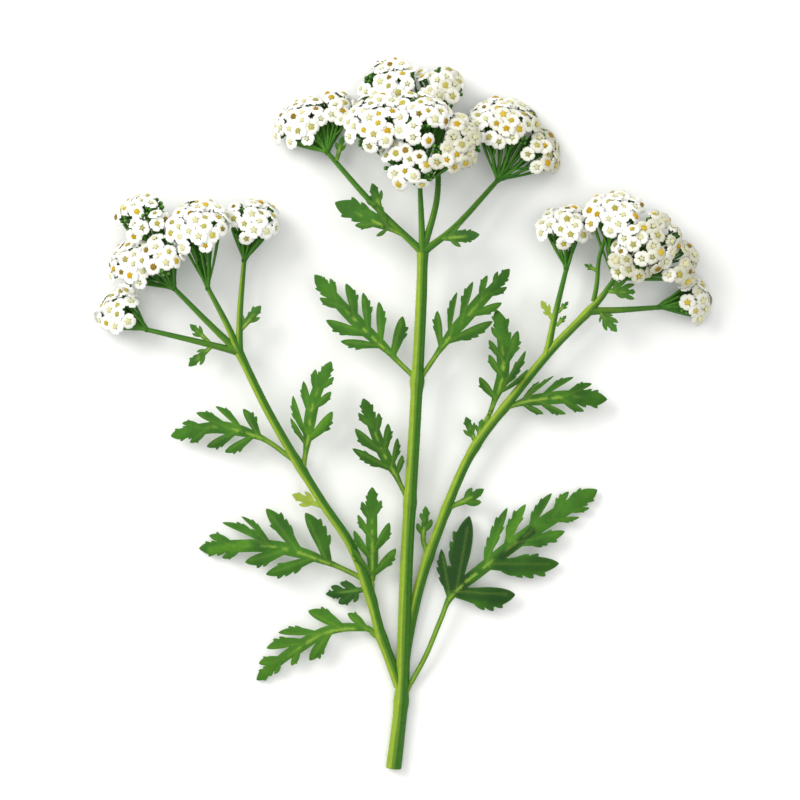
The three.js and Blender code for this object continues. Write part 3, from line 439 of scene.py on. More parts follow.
# ---- paths ----
class Path:
    """A smooth curve through points, sampled, with its own arc length.

    The power is 0.5 for a centripetal curve, and 0 for an even one."""

    def __init__(self, points, power=0.5, samples=40):
        points = np.array(points, dtype=float)
        if power == 0:
            ends = [points[0], points[-1]]
        else:
            ends = [2 * points[0] - points[1], 2 * points[-1] - points[-2]]
        padded = np.vstack([ends[0], points, ends[1]])
        rows, steps = [], []
        for i in range(len(points) - 1):
            p0, p1, p2, p3 = padded[i:i + 4]
            d0, d1, d2 = [max(norm(b - a) ** power, 1e-6) for a, b in ((p0, p1), (p1, p2), (p2, p3))]
            t1 = d1 * ((p1 - p0) / d0 - (p2 - p0) / (d0 + d1) + (p2 - p1) / d1)
            t2 = d1 * ((p2 - p1) / d1 - (p3 - p1) / (d1 + d2) + (p3 - p2) / d2)
            t = np.arange(samples if i < len(points) - 2 else samples + 1)[:, None] / samples
            rows.append(p1 + t1 * t + (3 * (p2 - p1) - 2 * t1 - t2) * t ** 2
                        + (2 * (p1 - p2) + t1 + t2) * t ** 3)
            steps.append((i + t[:, 0]) / (len(points) - 1))
        self.points = np.vstack(rows)
        self.share = np.concatenate(steps)
        self.along = np.concatenate([[0], np.cumsum(norm(np.diff(self.points, axis=0), axis=1))])
        self.length = self.along[-1]
        self.ways = unit(np.gradient(self.points, self.along, axis=0))

    def at(self, distance):
        return np.stack([np.interp(distance, self.along, c) for c in self.points.T], axis=-1)

    def way(self, distance):
        return unit(np.stack([np.interp(distance, self.along, c) for c in self.ways.T], axis=-1))

    def frames(self, distances):
        """Points of the path, with the two ways across it at each."""
        forward = self.way(distances)
        lift = UP if abs(self.way(self.length / 2)[2]) < 0.8 else np.array([0.0, 1.0, 0.0])
        across = unit(np.cross(forward, lift))
        return self.at(distances), across, np.cross(across, forward)

    def locate(self, points):
        """Distance along the path, and the sample itself, nearest to each point."""
        index = np.array([np.argmin(((self.points - p) ** 2).sum(axis=1)) for p in points])
        return self.along[index], index


def tube(shape, path, radius_at, colour_at, sides, step, ribs=0, rib_depth=0.0):
    """A closed ribbed tube along a path. Its radius is a function of distance, and its colour one of distance,
    angle and the way out."""
    rings = max(int(path.length / step), 3) + 1
    distances = np.linspace(0, path.length, rings)
    centres, across, up = path.frames(distances)
    angles = circle(sides)
    out = around(across[:, None], up[:, None], angles)
    radii = radius_at(distances)[:, None] * (1 + rib_depth * np.cos(ribs * angles))
    points = centres[:, None] + out * radii[..., None]
    points[..., 2] = np.maximum(points[..., 2], 0.0)
    colours = np.broadcast_to(colour_at(distances[:, None], angles, out), points.shape)
    hub = rings * sides
    faces = [tube_faces(rings, sides), lid(hub, 0, sides), lid(hub + 1, hub - sides, sides)[:, ::-1]]
    shape.add(np.vstack([points.reshape(-1, 3), centres[[0, -1]]]), np.vstack(faces),
              np.vstack([colours.reshape(-1, 3), colours[0].mean(axis=0), colours[-1].mean(axis=0)]))
    return points, centres


# ---- stems ----
STEM_PATHS = {name: Path(s["points"]) for name, s in STEMS.items()}
random = np.random.default_rng(11)


def stem_radius(name, distance):
    path = STEM_PATHS[name]
    return blend(*STEMS[name]["radii"], np.interp(distance, path.along, path.share))


def stem_colours(length, foot, end):
    """Painted highlight on the side that faces the key lamp, painted shade on the other, with stripes along the
    ribs.

    The painted lit side is lime for 1 and plain green for 0, given for the foot and the end of the stem."""
    def colours(distance, angle, out):
        lime = foot + (end - foot) * smooth(0.3, 0.7, distance / length)
        middle, painted_lit = mix(LEAF, STEM_MID, lime), mix(LEAF_LIGHT, STEM_PALE_AND_PAINTED_LIT, lime)
        # painted light: the side that faces the key lamp (towards -X and up) is painted lit, the far side
        # painted shade
        side = -out[..., 0] + 0.25 * out[..., 2] - 0.2
        stripe = 0.1 * np.cos(RIBS[0] * angle) + 0.08 * np.sin(distance / 7.3 + 2 * angle)
        colour = mix(middle, painted_lit, smooth(0.12, 0.36, side + stripe))
        return mix(colour, STEM_PAINTED_SHADE, smooth(-0.02, 0.22, -side + stripe))

    return colours


def hairs(shape, rings, centres, path_length, number, length):
    """Fine pale hairs that stand out of a tube."""
    count = int(path_length * number)
    i = random.integers(1, rings.shape[0] - 1, count)
    j = random.integers(0, rings.shape[1], count)
    root = rings[i, j]
    out = unit(root - centres[i])
    lean = unit(out + 0.5 * unit(centres[i] - centres[i - 1]) + random.normal(0, 0.25, (count, 3)))
    side = unit(np.cross(lean, UP) + 1e-6) * HAIR_HALF
    tip = root + lean * (length * random.uniform(0.5, 1.2, count))[:, None]
    root = root - out * HAIR_SINK
    third = unit(np.cross(lean, side)) * HAIR_HALF
    points = np.stack([root + side, root - side, root + third, tip], 1).reshape(-1, 3)
    points[:, 2] = np.maximum(points[:, 2], CLEAR)
    base = np.arange(count)[:, None, None] * 4
    shape.add(points, (base + np.array([[0, 3, 1], [1, 3, 2], [2, 3, 0], [0, 1, 2]])).reshape(-1, 3), HAIR)


def make_stem():
    shape = Shape()
    for name, path in STEM_PATHS.items():
        nodes = [leaf_root(leaf)[3] for leaf in LEAVES if leaf["stem"] == name]
        swellings = [(at, *NODE_SWELL) for at in nodes] + [(path.length, *END_SWELL)]

        def swollen(distance):
            swell = sum(most * np.exp(-((distance - at) / reach) ** 2) for at, most, reach in swellings)
            return stem_radius(name, distance) * (1 + swell)

        colours = stem_colours(path.length, 1, 1)
        rings, centres = tube(shape, path, swollen, colours, STEM_SIDES, RING_STEP, *RIBS)
        hairs(shape, rings, centres, path.length, *STEM_HAIRS)
    cut_face(shape)
    for head in HEADS:
        make_twig(shape, head)
    path = Path(SIDE_TWIG["points"])
    tube(shape, path, lambda d: blend(*SIDE_TWIG["radii"], d / path.length),
         stem_colours(path.length, *TWIG_LIME), SIDE_TWIG_SIDES, RING_STEP, *TWIG_RIBS)
    for bract in BRACTS:
        make_bract(shape, *bract)
    make_piece("stem", shape, ["stem"], "stem")


def cut_face(shape):
    """The cut end shows a pale ring round its pith."""
    path, radius = STEM_PATHS["centre"], stem_radius("centre", 0.0)
    centre, across, up = [v[0] for v in path.frames(np.array([0.0]))]
    back = -path.way(0.0)
    spokes = around(across, up, circle(CUT_SIDES)) * radius
    points = [centre + spokes * share + back * out for share, out, _ in CUT_RINGS] + [centre + back * PITH[0]]
    count = len(CUT_RINGS)
    faces = [tube_faces(count, CUT_SIDES)[:, ::-1], lid(count * CUT_SIDES, (count - 1) * CUT_SIDES, CUT_SIDES)]
    tones = np.repeat([tone for *_, tone in CUT_RINGS], CUT_SIDES, 0)
    shape.add(np.vstack(points), np.vstack(faces), np.vstack([tones, PITH[1]]))


def make_twig(shape, head):
    stem = STEM_PATHS[head["stem"]]
    root = [np.interp(head.get("start", 1.0), stem.share, c) for c in stem.points.T]
    path = Path([root, head["via"], head["hub"]])

    def radius(distance):
        flare = TWIG_FLARE[0] * np.exp(-distance / TWIG_FLARE[1])
        return blend(*TWIG_RADII, distance / path.length) * (1 + flare)

    colours = stem_colours(path.length, *head.get("lime", TWIG_LIME))
    rings, centres = tube(shape, path, radius, colours, TWIG_SIDES, RING_STEP, *TWIG_RIBS)
    hairs(shape, rings, centres, path.length, *TWIG_HAIRS)


# ---- leaves ----
def leaf_root(leaf):
    """Where a stalk leaves its stem: just outside it, the way there from its axis, height, place along it."""
    stem = STEM_PATHS[leaf["stem"]]
    i = np.argmin(np.hypot(*(stem.points[:, :2] - leaf["rib"][0]).T))
    axis, way = stem.points[i, :2], unit(stem.ways[i, :2])
    stalk = unit(np.array(leaf["rib"][1], dtype=float) - axis)
    radius = stem_radius(leaf["stem"], stem.along[i])
    run = (radius + GAP) / abs(way[0] * stalk[1] - way[1] * stalk[0])
    return axis + stalk * run, stalk * (run - 0.2 * radius), stem.points[i, 2], stem.along[i]


def lobe_list(rib, tips, stalk, full):
    """The lobes in their order along the midrib, each as wide as its neighbours on its side leave it."""
    lobes = []
    for x, y, *given in tips:
        wide = given.pop() if len(given) == 3 else 1
        tip = np.array([x, y], dtype=float)
        along, index = [v[0] for v in rib.locate([tip])]
        way, gap = rib.ways[index], tip - rib.points[index]
        reach = norm(gap)
        sweep = LOBE_SWEEP[0] + (LOBE_SWEEP[1] - LOBE_SWEEP[0]) * along / rib.length
        root = rib.locate([np.array(given, dtype=float)])[0][0] if given else along - sweep * reach
        root = max(root, stalk)
        lobes.append({"tip": tip, "side": 1 if way[0] * gap[1] > way[1] * gap[0] else -1, "reach": reach,
                      "root": root, "sweep": (along - root) / reach, "wide": wide * full,
                      "length": norm(tip - rib.at(root))})
    lobes.sort(key=lambda lobe: lobe["root"])
    for lobe in lobes:
        middle = rib.at(lobe["root"]) * (1 - LOBE_MIDDLE) + lobe["tip"] * LOBE_MIDDLE
        others = [other for other in lobes if other is not lobe and other["side"] == lobe["side"]]
        room = min((segment_distance(middle[None], rib.at(other["root"]), other["tip"])[0]
                    for other in others), default=math.inf)
        lobe["half"] = lobe["wide"] * min(LOBE_HALF * lobe["length"], max(LOBE_ROOM * room, LOBE_LEAST))
        lobe["foot"] = lobe["half"] * lobe["length"] / lobe["reach"]
    return lobes


def lobe_half(u):
    """Half width of a lobe over its widest, from its root, 0, to its tip, 1."""
    body = LOBE_FOOT + (1 - LOBE_FOOT) * smooth(0.1, LOBE_MIDDLE, u)
    return body * np.clip(1 - np.clip((u - LOBE_MIDDLE) / (1 - LOBE_MIDDLE), 0, 1) ** 2.2, 0, 1) ** 0.75


def bezier(a, b, c, count):
    t = np.linspace(0, 1, count)[:, None]
    return a * (1 - t) ** 2 + 2 * b * t * (1 - t) + c * t ** 2


def tooth(at, place, side, edge, size, length):
    """A small blunt tooth that points forward on an edge, given a function of place and half width."""
    def spot(forward, half):
        return at(place + forward * length, side * half)

    outer = bezier(spot(-1.1, edge * 0.9), spot(-0.25, edge + 1.1 * size), spot(0.25, edge + size), 8)
    inner = bezier(spot(0.36, edge + 0.72 * size), spot(0.2, edge + 0.2 * size), spot(0.4, edge * 0.6), 5)
    return np.vstack([outer, inner])


def lobe_outlines(rib, lobe, turns):
    """The closed outline of a lobe, then one for each of its teeth."""
    root, length, half = rib.at(lobe["root"]), lobe["length"], lobe["half"]
    along = unit(lobe["tip"] - root)
    forward = rib.way(lobe["root"])
    across = unit(forward - along * forward.dot(along))
    bow = turns.uniform(*LOBE_BOW) * length

    def at(u, v):
        curve = bow * 4 * np.asarray(u) * (1 - np.asarray(u))
        return root + np.multiply.outer(u * length, along) + np.multiply.outer(v * half - curve, across)

    u = np.linspace(0, 1, max(int(length / OUTLINE_STEP), 6))
    rear = sum(length > least for least in TEETH)
    slim = DRAWN_IN if rear > 1 else 1.0
    edge = slim * lobe_half(u)
    outlines = [np.vstack([at(u, -edge), at(u[::-1], edge[::-1])[1:]])]
    front = turns.integers(0, max(rear - 1, 1))
    for count, side, (outermost, step, size) in ((rear, -1, REAR_TEETH), (front, 1, FRONT_TEETH)):
        for k in range(count):
            place = outermost - step * k + turns.uniform(-0.03, 0.03)
            edge = slim * float(lobe_half(place))
            outlines.append(tooth(at, place, side, edge, size * turns.uniform(0.7, 1.2), TOOTH_LENGTH))
    return outlines


def web_edge(rib, lobes, side, half):
    """Half widths of the blade between its lobes on one side, with their places, and the length of its end."""
    mine = [lobe for lobe in lobes if lobe["side"] == side]
    first, last = mine[0], mine[-1]
    knots = [(0.0, half), (max(first["root"] - first["foot"] - 1.0, 0.5), half)]
    for lobe, after in zip(mine, mine[1:]):
        share = min(max((lobe["root"] - first["root"]) / (rib.length - first["root"]), 0), 1)
        depth = min(blend(*NOTCH_HALF, share), NOTCH_REACH * min(lobe["reach"], after["reach"]))
        if after["root"] - lobe["root"] > WELL_APART:
            knots += [(lobe["root"] + lobe["foot"] + lobe["sweep"] * depth, depth),
                      (after["root"] - after["foot"] + after["sweep"] * depth, depth)]
        else:
            knots.append((blend(lobe["root"], after["root"], NOTCH_PLACE) + after["sweep"] * depth, depth))
    end = rib.length - last["root"] - last["foot"]
    depth = min(NOTCH_HALF[1], NOTCH_REACH * last["reach"])
    knots.append((rib.length - end + last["sweep"] * depth, depth))
    knots += [(rib.length - back * end, width * end) for back, width in END]
    knots.append((rib.length, 0.03))
    distances = np.linspace(0, rib.length, int(rib.length / OUTLINE_STEP) + 2)
    widths = np.interp(distances, *zip(*sorted(knots)))
    padded = np.concatenate([np.full(3, widths[0]), widths, np.zeros(3)])
    smoothed = np.convolve(padded, np.ones(7) / 7, "valid")
    return distances, np.where(distances > rib.length - END_SHARP, widths, smoothed), end


def blade_outlines(rib, lobes, half, turns):
    """The closed outline of a blade without its lobes, then one for each tooth at its end and for each lobe."""
    def at(place, width):
        way = rib.way(place)
        return rib.at(place) + np.stack([-way[..., 1], way[..., 0]], -1) * np.asarray(width)[..., None]

    edges, outlines = [], []
    for side in (1, -1):
        distances, widths, end = web_edge(rib, lobes, side, half)
        edges.append(at(distances, side * widths))
        for back in END_TEETH if end > SHORT_END else SHORT_END_TEETH:
            place = rib.length - (back + turns.uniform(-0.05, 0.05)) * end
            edge = float(np.interp(place, distances, widths))
            outlines.append(tooth(at, place, side, edge, *(share * end for share in END_TOOTH)))
    outlines.insert(0, np.vstack([edges[0], edges[1][::-1][1:-1]]))
    for lobe in lobes:
        outlines += lobe_outlines(rib, lobe, turns)
    return outlines


def segment_distance(points, a, b):
    way = b - a
    t = np.clip(((points - a) @ way) / (way @ way), 0, 1)
    return norm(points - a - t[:, None] * way, axis=1)


def cloud_distance(points, cloud):
    best = np.full(len(points), np.inf)
    for chunk in np.array_split(cloud, max(len(cloud) // 64, 1)):
        best = np.minimum(best, norm(points[:, None] - chunk[None], axis=2).min(axis=1))
    return best


def fill_outlines(outlines, lines):
    """Triangles that fill the outlines, with extra points inside and along the given lines."""
    edge = np.vstack(outlines)
    low, high = edge.min(axis=0), edge.max(axis=0)
    rows = np.arange(low[1], high[1], GRID * 0.866)
    grid = np.array([(x + (k % 2) * GRID / 2, y)
                     for k, y in enumerate(rows) for x in np.arange(low[0], high[0], GRID)])
    grid += random.uniform(-0.1, 0.1, (len(grid), 2)) * GRID
    fixed = np.vstack([edge] + lines)
    gap = cloud_distance(grid, fixed)
    points = np.vstack([fixed, grid[(gap > 0.55 * GRID) & (gap < 9)]])
    faces, edges, at = [], [], 0
    for outline in outlines:
        faces.append(list(range(at, at + len(outline))))
        at += len(outline)
    for line in lines:
        edges += [(at + i, at + i + 1) for i in range(len(line) - 1)]
        at += len(line)
    out = geometry.delaunay_2d_cdt([Vector(p) for p in points], edges, faces, 1, 1e-3)
    flat = np.array([tuple(v) for v in out[0]])
    used, triangles = np.unique([f for f in out[2] if len(f) == 3], return_inverse=True)
    flat, triangles = flat[used], triangles.reshape(-1, 3)
    a, b, c = (flat[triangles[:, k]] for k in range(3))
    area = (b[:, 0] - a[:, 0]) * (c[:, 1] - a[:, 1]) - (b[:, 1] - a[:, 1]) * (c[:, 0] - a[:, 0])
    triangles[area < 0] = triangles[area < 0][:, ::-1]
    return flat, triangles[np.abs(area) > 1e-5]


def unevenness(points, size, layer):
    return np.array([noise.noise(Vector((x / size, y / size, layer))) for x, y in points])


def blade(shape, rib, tips, stalk_length, half, height_at, palette, seed, tones=(), full=1.0):
    """One leaf blade with its stalk, midrib and veins, closed all round."""
    lobes = lobe_list(rib, tips, stalk_length, full)
    outlines = blade_outlines(rib, lobes, half, np.random.default_rng(seed))
    lines = [rib.at(np.arange(0.0, rib.length - 1.0, RIB_STEP))]
    veins = []
    for lobe in lobes:
        root = rib.at(lobe["root"])
        end = root + (lobe["tip"] - root) * VEIN_REACH
        veins.append((root, end))
        count = max(int(norm(end - root) / VEIN_STEP), 2)
        lines.append(root + (end - root) * (np.arange(1, count + 1) / count)[:, None])
    flat, triangles = fill_outlines(outlines, lines)
    along, index = rib.locate(flat)
    off = norm(flat - rib.points[index], axis=1)
    vein = np.min([segment_distance(flat, a, b) for a, b in veins], axis=0)
    share = along / rib.length
    rim = rim_edges(triangles)
    inset = cloud_distance(flat, flat[np.unique(rim)])
    stalk = 1 - smooth(lobes[0]["root"] - 5, lobes[0]["root"] + 1, along)
    shift = 31.7 * seed
    coarse, fine, patch = [unevenness(flat, size, shift + more) for size, more in ((13, 0), (3.1, 5), (8, 9))]

    # heights: a wavy blade, thin at its rim, with a midrib and veins, on a rounded stalk
    taper = 1 - 0.75 * share
    rib_line = np.exp(-(off / (0.3 + 0.16 * taper)) ** 2)
    vein_line = np.exp(-(vein / 0.38) ** 2) * (1 - stalk)
    middle = height_at(flat, along, off) + 1.1 * coarse * smooth(2, 9, off) + 0.14 * fine * (1 - stalk)
    thin = BLADE_EDGE + (BLADE - BLADE_EDGE) * smooth(0, 1.1, inset)
    top = middle + thin / 2 + 0.28 * taper * rib_line - 0.16 * vein_line
    top += stalk * (0.35 * smooth(0, 0.7, inset) - 0.2 * rib_line)
    under = middle - thin / 2 - 0.5 * taper * np.exp(-(off / 0.8) ** 2) - 0.2 * vein_line
    under -= stalk * 0.75 * np.sqrt(np.clip(1 - (off / (half + 0.15)) ** 2, 0, 1))
    top, under = (np.column_stack([flat, np.maximum(z, CLEAR)]) for z in (top, under))

    # colours: patches, given tones, a light rim, veins, and a broken lime line along the midrib
    dark, body, light, line = palette
    colour = mix(body, dark, 0.6 * smooth(0.05, 0.5, patch))
    colour = mix(colour, light, 0.6 * smooth(0.05, 0.45, -patch))
    for x0, y0, x1, y1, wide, strength in tones:
        gap = segment_distance(flat, np.array([x0, y0]), np.array([x1, y1])) + 0.6 * fine
        tone = LEAF_BRIGHT if strength > 0 else LEAF_DEEP
        colour = mix(colour, tone, abs(strength) * (1 - smooth(0.6 * wide, 1.25 * wide, gap)))
    colour = mix(colour, light, 0.25 * (1 - smooth(0, 0.6, inset)))
    colour = mix(colour, line, 0.22 * vein_line * taper)
    stroke = smooth(-0.25, 0.15, fine) * (1 - smooth(0.45, 0.8, share))
    on_blade, on_stalk = 0.85 * rib_line * stroke * (1 - stalk), (0.12 + 0.7 * rib_line) * stalk
    colour = mix(colour, line, np.maximum(on_blade, on_stalk))
    shape.add(*sheet(top, under, triangles, rim), np.vstack([colour, mix(colour, LEAF_UNDER, 0.4)]))


def make_leaf(leaf, number):
    foot, reach, level, _ = leaf_root(leaf)
    rib = Path([foot] + leaf["rib"][1:], 0, 60)

    def height(points, along, off):
        share = along / rib.length
        return level + (leaf["tip"] - level) * share + leaf["arch"] * np.sin(math.pi * share) - DROOP * off ** 2

    shape = Shape()
    palette, kind = (DARK_TONES, "dark_leaf") if leaf.get("dark") else (LEAF_TONES, "leaf")
    palette = [tone * leaf.get("shade", 1.0) for tone in palette[:3]] + [palette[3]]
    blade(shape, rib, leaf["lobes"], leaf["stalk"], STALK_HALF, height, palette, number + 1,
          leaf.get("tones", ()), leaf.get("full", 1.0))
    stalk_joint(shape, foot, reach, level, palette)
    make_piece("leaf_" + leaf["name"], shape, [kind], kind)


def stalk_joint(shape, foot, reach, level, palette):
    """The foot of the stalk widens and clasps its stem."""
    start = np.append(foot - reach * 0.95, level)
    end = np.append(foot + unit(reach) * 1.6, level - 0.1)
    path = Path([start, (start + end) / 2, end], samples=8)

    def radius(distance):
        return (JOINT_RADIUS + 0.45 * np.exp(-distance / 1.1)
                - 0.35 * smooth(0.6 * path.length, path.length, distance))

    def colours(distance, angle, out):
        return mix(palette[3], palette[1], 0.35 + 0.2 * np.sin(angle))

    tube(shape, path, radius, colours, JOINT_SIDES, 0.5)


def make_bract(shape, root_x, root_y, tip_x, tip_y, level, lime, *lobes):
    root, tip = np.array([root_x, root_y], float), np.array([tip_x, tip_y], float)
    way = unit(tip - root)
    across = np.array([-way[1], way[0]])
    lobes = [np.array(p, float) for p in lobes]
    length = norm(tip - root)
    for side in (1, -1):
        if not any(np.sign((p - root) @ across) == side for p in lobes):
            lobes.append(root + (tip - root) * BRACT_NOTCH[0] + across * side * length * BRACT_NOTCH[1])

    def height(points, along, off):
        return level + BRACT_RISE * norm(points - root, axis=1)

    blade(shape, Path([root, (root + tip) / 2, tip], 0, 60), lobes, BRACT_STALK * length, BRACT_HALF, height,
          LIME_TONES if lime else LEAF_TONES, BRACT_SEED + int(abs(tip_x)))


# ---- places of the florets ----
def make_dome(head, x, y, z, r):
    centre = np.array([x, y, z], dtype=float)
    up = unit(unit(centre - head["hub"]) + UP * DOME_TILT)
    side = unit(np.cross([1.0, 0.0, 0.0], up))
    return {"centre": centre, "up": up, "side": side, "fore": np.cross(side, up), "surface": r - DOME_MARGIN}


def covered(dome, point):
    offset = point - dome["centre"]
    height = offset @ dome["up"]
    across = math.sqrt(max(offset @ offset - height ** 2, 0))
    return math.hypot(across, height / (DOME_RISE if height > 0 else DOME_SINK)) < dome["surface"] * DOME_COVER


def spiral(dome, draws):
    """Places of the florets over a dome, in the golden-angle spiral of a real corymb."""
    count = round(math.pi * dome["surface"] ** 2 * (1 + DOME_RISE / 2) / (0.866 * FLORET_PITCH ** 2))
    for i in range(count):
        yield OUTER_RING * math.sqrt((i + 0.5) / (count - 0.5)), i * GOLDEN + draws.uniform(-0.12, 0.12)


def anywhere(dome, draws):
    """More places over a dome, for what room the spirals leave."""
    for _ in range(SPARE_SEATS):
        yield OUTER_RING * math.sqrt(draws.uniform()), draws.uniform(0, TURN)


def seat(dome, share, angle, draws):
    flat = toward(dome["side"], dome["fore"], angle)
    lift = math.sqrt(1 - share ** 2)
    radius = dome["surface"]
    point = dome["centre"] + flat * share * radius + dome["up"] * lift * DOME_RISE * radius
    facing = unit(flat * share + dome["up"] * lift / DOME_RISE)
    return point + facing * draws.uniform(-0.5, 0.35), facing


def place_florets(head, placed):
    florets, draws = [], np.random.default_rng(SPIRAL_SEED)
    for places, room in ((spiral, SPIRAL_ROOM), (anywhere, SPARE_ROOM)):
        for number, dome in enumerate(head["built"]):
            for share, angle in places(dome, draws):
                point, facing = seat(dome, share, angle, draws)
                if (any(d is not dome and covered(d, point) for d in head["built"])
                        or any(norm(f["point"] - point) < room for f in florets)
                        or any(norm(p - point) < HEAD_ROOM for p in placed)):
                    continue
                florets.append({
                    "point": point, "facing": unit(facing + draws.normal(0, 0.2, 3)), "dome": number,
                    "spin": draws.uniform(0, TURN), "size": draws.uniform(0.88, 1.1),
                    "kind": int(draws.integers(0, FLORET_KINDS)),
                    "bud": draws.uniform() < head.get("buds", BUD_SHARE),
                })
    return florets


def facing_axes(facing, spin):
    side = unit(np.cross([0.37, 0.93, 0.05], facing))
    x = toward(side, np.cross(facing, side), spin)
    return np.array([x, np.cross(facing, x), facing])


def placed_points(f, templates):
    return templates[f["kind"]][0] * f["size"] @ facing_axes(f["facing"], f["spin"]) + f["point"]


def settle(head, templates):
    """A head that rests on the surface is lowered until its lowest ray touches it."""
    lowest = min(placed_points(f, templates)[:, 2].min() for f in head["florets"] if not f["bud"])
    drop = np.array([0.0, 0.0, lowest - TOUCH])
    for f in head["florets"]:
        f["point"] = f["point"] - drop
    for dome in head["built"]:
        dome["centre"] = dome["centre"] - drop


# ---- florets ----
def ray_grid(turns):
    """One broad white ray, three-toothed at its end, as a grid of points and how far out each lies."""
    u = np.linspace(0, 1, RAY_ROWS)[:, None] ** 0.85
    v = np.linspace(-1, 1, RAY_COLUMNS)[None, :]
    notch = 0.055 * (1 - np.cos(3 * math.pi * v)) / 2
    end = FLORET_RADIUS * turns.uniform(0.93, 1.04) * (1 - 0.1 * v ** 2 - notch)
    half = FLORET_RADIUS * turns.uniform(0.44, 0.5) * (0.3 + 0.7 * smooth(0, 0.6, u))
    half = half * (1 - 0.12 * smooth(0.75, 1, u))
    droop = turns.uniform(0.15, 0.85)
    z = 0.3 * np.sin(math.pi * np.minimum(0.9 * u, 1)) - droop * u ** 2 - turns.uniform(0.0, 0.25) * v ** 2 * u
    z = z + 0.07 * np.cos(3 * math.pi * v) * smooth(0.1, 0.5, u) + turns.uniform(-0.12, 0.12) * v * u
    return threes(RAY_FOOT + (end - RAY_FOOT) * u, v * half, z), np.broadcast_to(u, z.shape).ravel()


def grid_faces(rows, columns):
    a = (np.arange(rows - 1)[:, None] * columns + np.arange(columns - 1)).ravel()
    b, c, d = a + 1, a + columns, a + columns + 1
    return np.vstack([threes(a, c, b), threes(b, c, d)])


def floret_template(kind):
    """Points, triangles, colours and material numbers of one open flower head, facing +Z."""
    turns = np.random.default_rng(FLORET_SEED + kind)
    shape = Shape()
    faces = grid_faces(RAY_ROWS, RAY_COLUMNS)
    rim = rim_edges(faces)
    for k in range(RAYS):
        grid, out = ray_grid(turns)
        angle = k * TURN / RAYS + turns.uniform(-0.07, 0.07)
        cos, sin = math.cos(angle), math.sin(angle)
        spin = np.array([[cos, sin, 0], [-sin, cos, 0], [0, 0, 1]])
        top = (grid + [0, 0, 0.05 * (k % 2)]) @ spin
        shade = mix(PETAL_FOOT, PETAL, smooth(0.0, 0.45, out))
        shape.add(*sheet(top, top - [0, 0, RAY_THICK], faces, rim), np.vstack([shade, shade * 0.96]))
    disc = DISC_RADII[kind]
    polar = [(i + 1) / DISC_LEVELS * math.pi / 2 for i in range(DISC_LEVELS)]
    dome = rings_of([(disc * math.sin(p), 0.1 + 0.5 * math.cos(p)) for p in polar], circle(DISC_SIDES))
    faces = [lid(len(dome), 0, DISC_SIDES), tube_faces(DISC_LEVELS, DISC_SIDES)]
    shape.add(np.vstack([dome, [0, 0, 0.6]]), np.vstack(faces), DISC_FLOOR, 1)
    for i in range(DISC_FLORETS):
        share = math.sqrt((i + 0.4) / DISC_FLORETS)
        disc_floret(shape, disc, share, i * DISC_TURN + turns.uniform(-0.2, 0.2), turns)
    return shape.merged()


def disc_floret(shape, disc, share, angle, turns):
    """A five-lobed tube floret: a small open star on a neck."""
    polar = share * 1.25
    out = np.array([math.sin(polar) * math.cos(angle), math.sin(polar) * math.sin(angle), math.cos(polar)])
    foot = out * [0.95 * disc, 0.95 * disc, 0.5] + [0, 0, 0.05]
    side = unit(np.cross(out, [0.3, 0.9, 0.1]))
    spokes = around(side, np.cross(out, side), circle(STAR) + turns.uniform(0, 6))
    wide = turns.uniform(0.19, 0.27)
    tall = turns.uniform(0.15, 0.32)
    points = [foot + spokes * 0.1 - out * 0.08, foot + out * tall + spokes * wide, foot + out * (tall - 0.13)]
    shape.add(np.vstack(points), np.vstack([tube_faces(2, STAR)[:, ::-1], lid(2 * STAR, STAR, STAR)]),
              np.array([STAR_NECK] * STAR + [STAR_LOBE] * STAR + [STAR_HEART]), 1)


def make_florets(head, templates):
    shape = Shape()
    for f in head["florets"]:
        if f["bud"]:
            continue
        _, faces, colours, slots = templates[f["kind"]]
        # painted shade: florets that face away from the key lamp (towards +X and -Y) are greyed by their dome's
        # amount, with a random spread
        turned_from_light = smooth(-0.9, 0.5, f["facing"][0] - 0.5 * f["facing"][1])
        shade = np.clip(head["shades"][f["dome"]] * turned_from_light + random.uniform(-0.1, 0.2), 0, 1)
        disc = DISCS[int(random.integers(0, len(DISCS)))] * random.uniform(0.85, 1.1)
        if random.uniform() < PALE_SHARE:
            disc = DISC_PALE
        is_disc = np.zeros((len(colours), 1), bool)
        is_disc[faces[slots == 1].ravel()] = True
        tint = colours * np.where(is_disc, disc, mix(np.ones(3), PETAL_PAINTED_SHADE, shade))
        shape.add(placed_points(f, templates), faces, tint, slots)
    make_piece("florets_" + head["name"], shape, ["petal", "disc"], "florets", 60)


# ---- cups, buds and pedicels ----
def cup_template():
    """The scaly green cup under a flower head, hanging down from z = 0."""
    shape = Shape()
    count = len(CUP_PROFILE)
    points = rings_of(CUP_PROFILE, circle(CUP_SIDES))
    tones = [CUP * (0.75 + 0.35 * k / (count - 1)) for k in range(count)]
    shape.add(np.vstack([points, [0, 0, 0]]),
              np.vstack([tube_faces(count, CUP_SIDES), lid(len(points), 0, CUP_SIDES)]),
              np.vstack([np.repeat(tones, CUP_SIDES, 0), CUP]))
    radii, depths = zip(*CUP_PROFILE[::-1])
    shades = np.array([CUP * 0.8, CUP * 0.8, CUP * 1.15, CUP_EDGE, CUP_EDGE, CUP_EDGE * 1.1])
    for row, low in enumerate(SCALE_ROWS):
        for k in range(SCALES):
            middle = (k + 0.5 * (row % 2)) * TURN / SCALES
            corners = []
            for turn, z, stand in SCALE:
                r = float(np.interp(low + z, depths, radii)) + stand
                corners.append((r * math.cos(middle + turn), r * math.sin(middle + turn), low + z))
            shape.add(corners, SCALE_FACES, shades)
    return shape.merged()[:3]


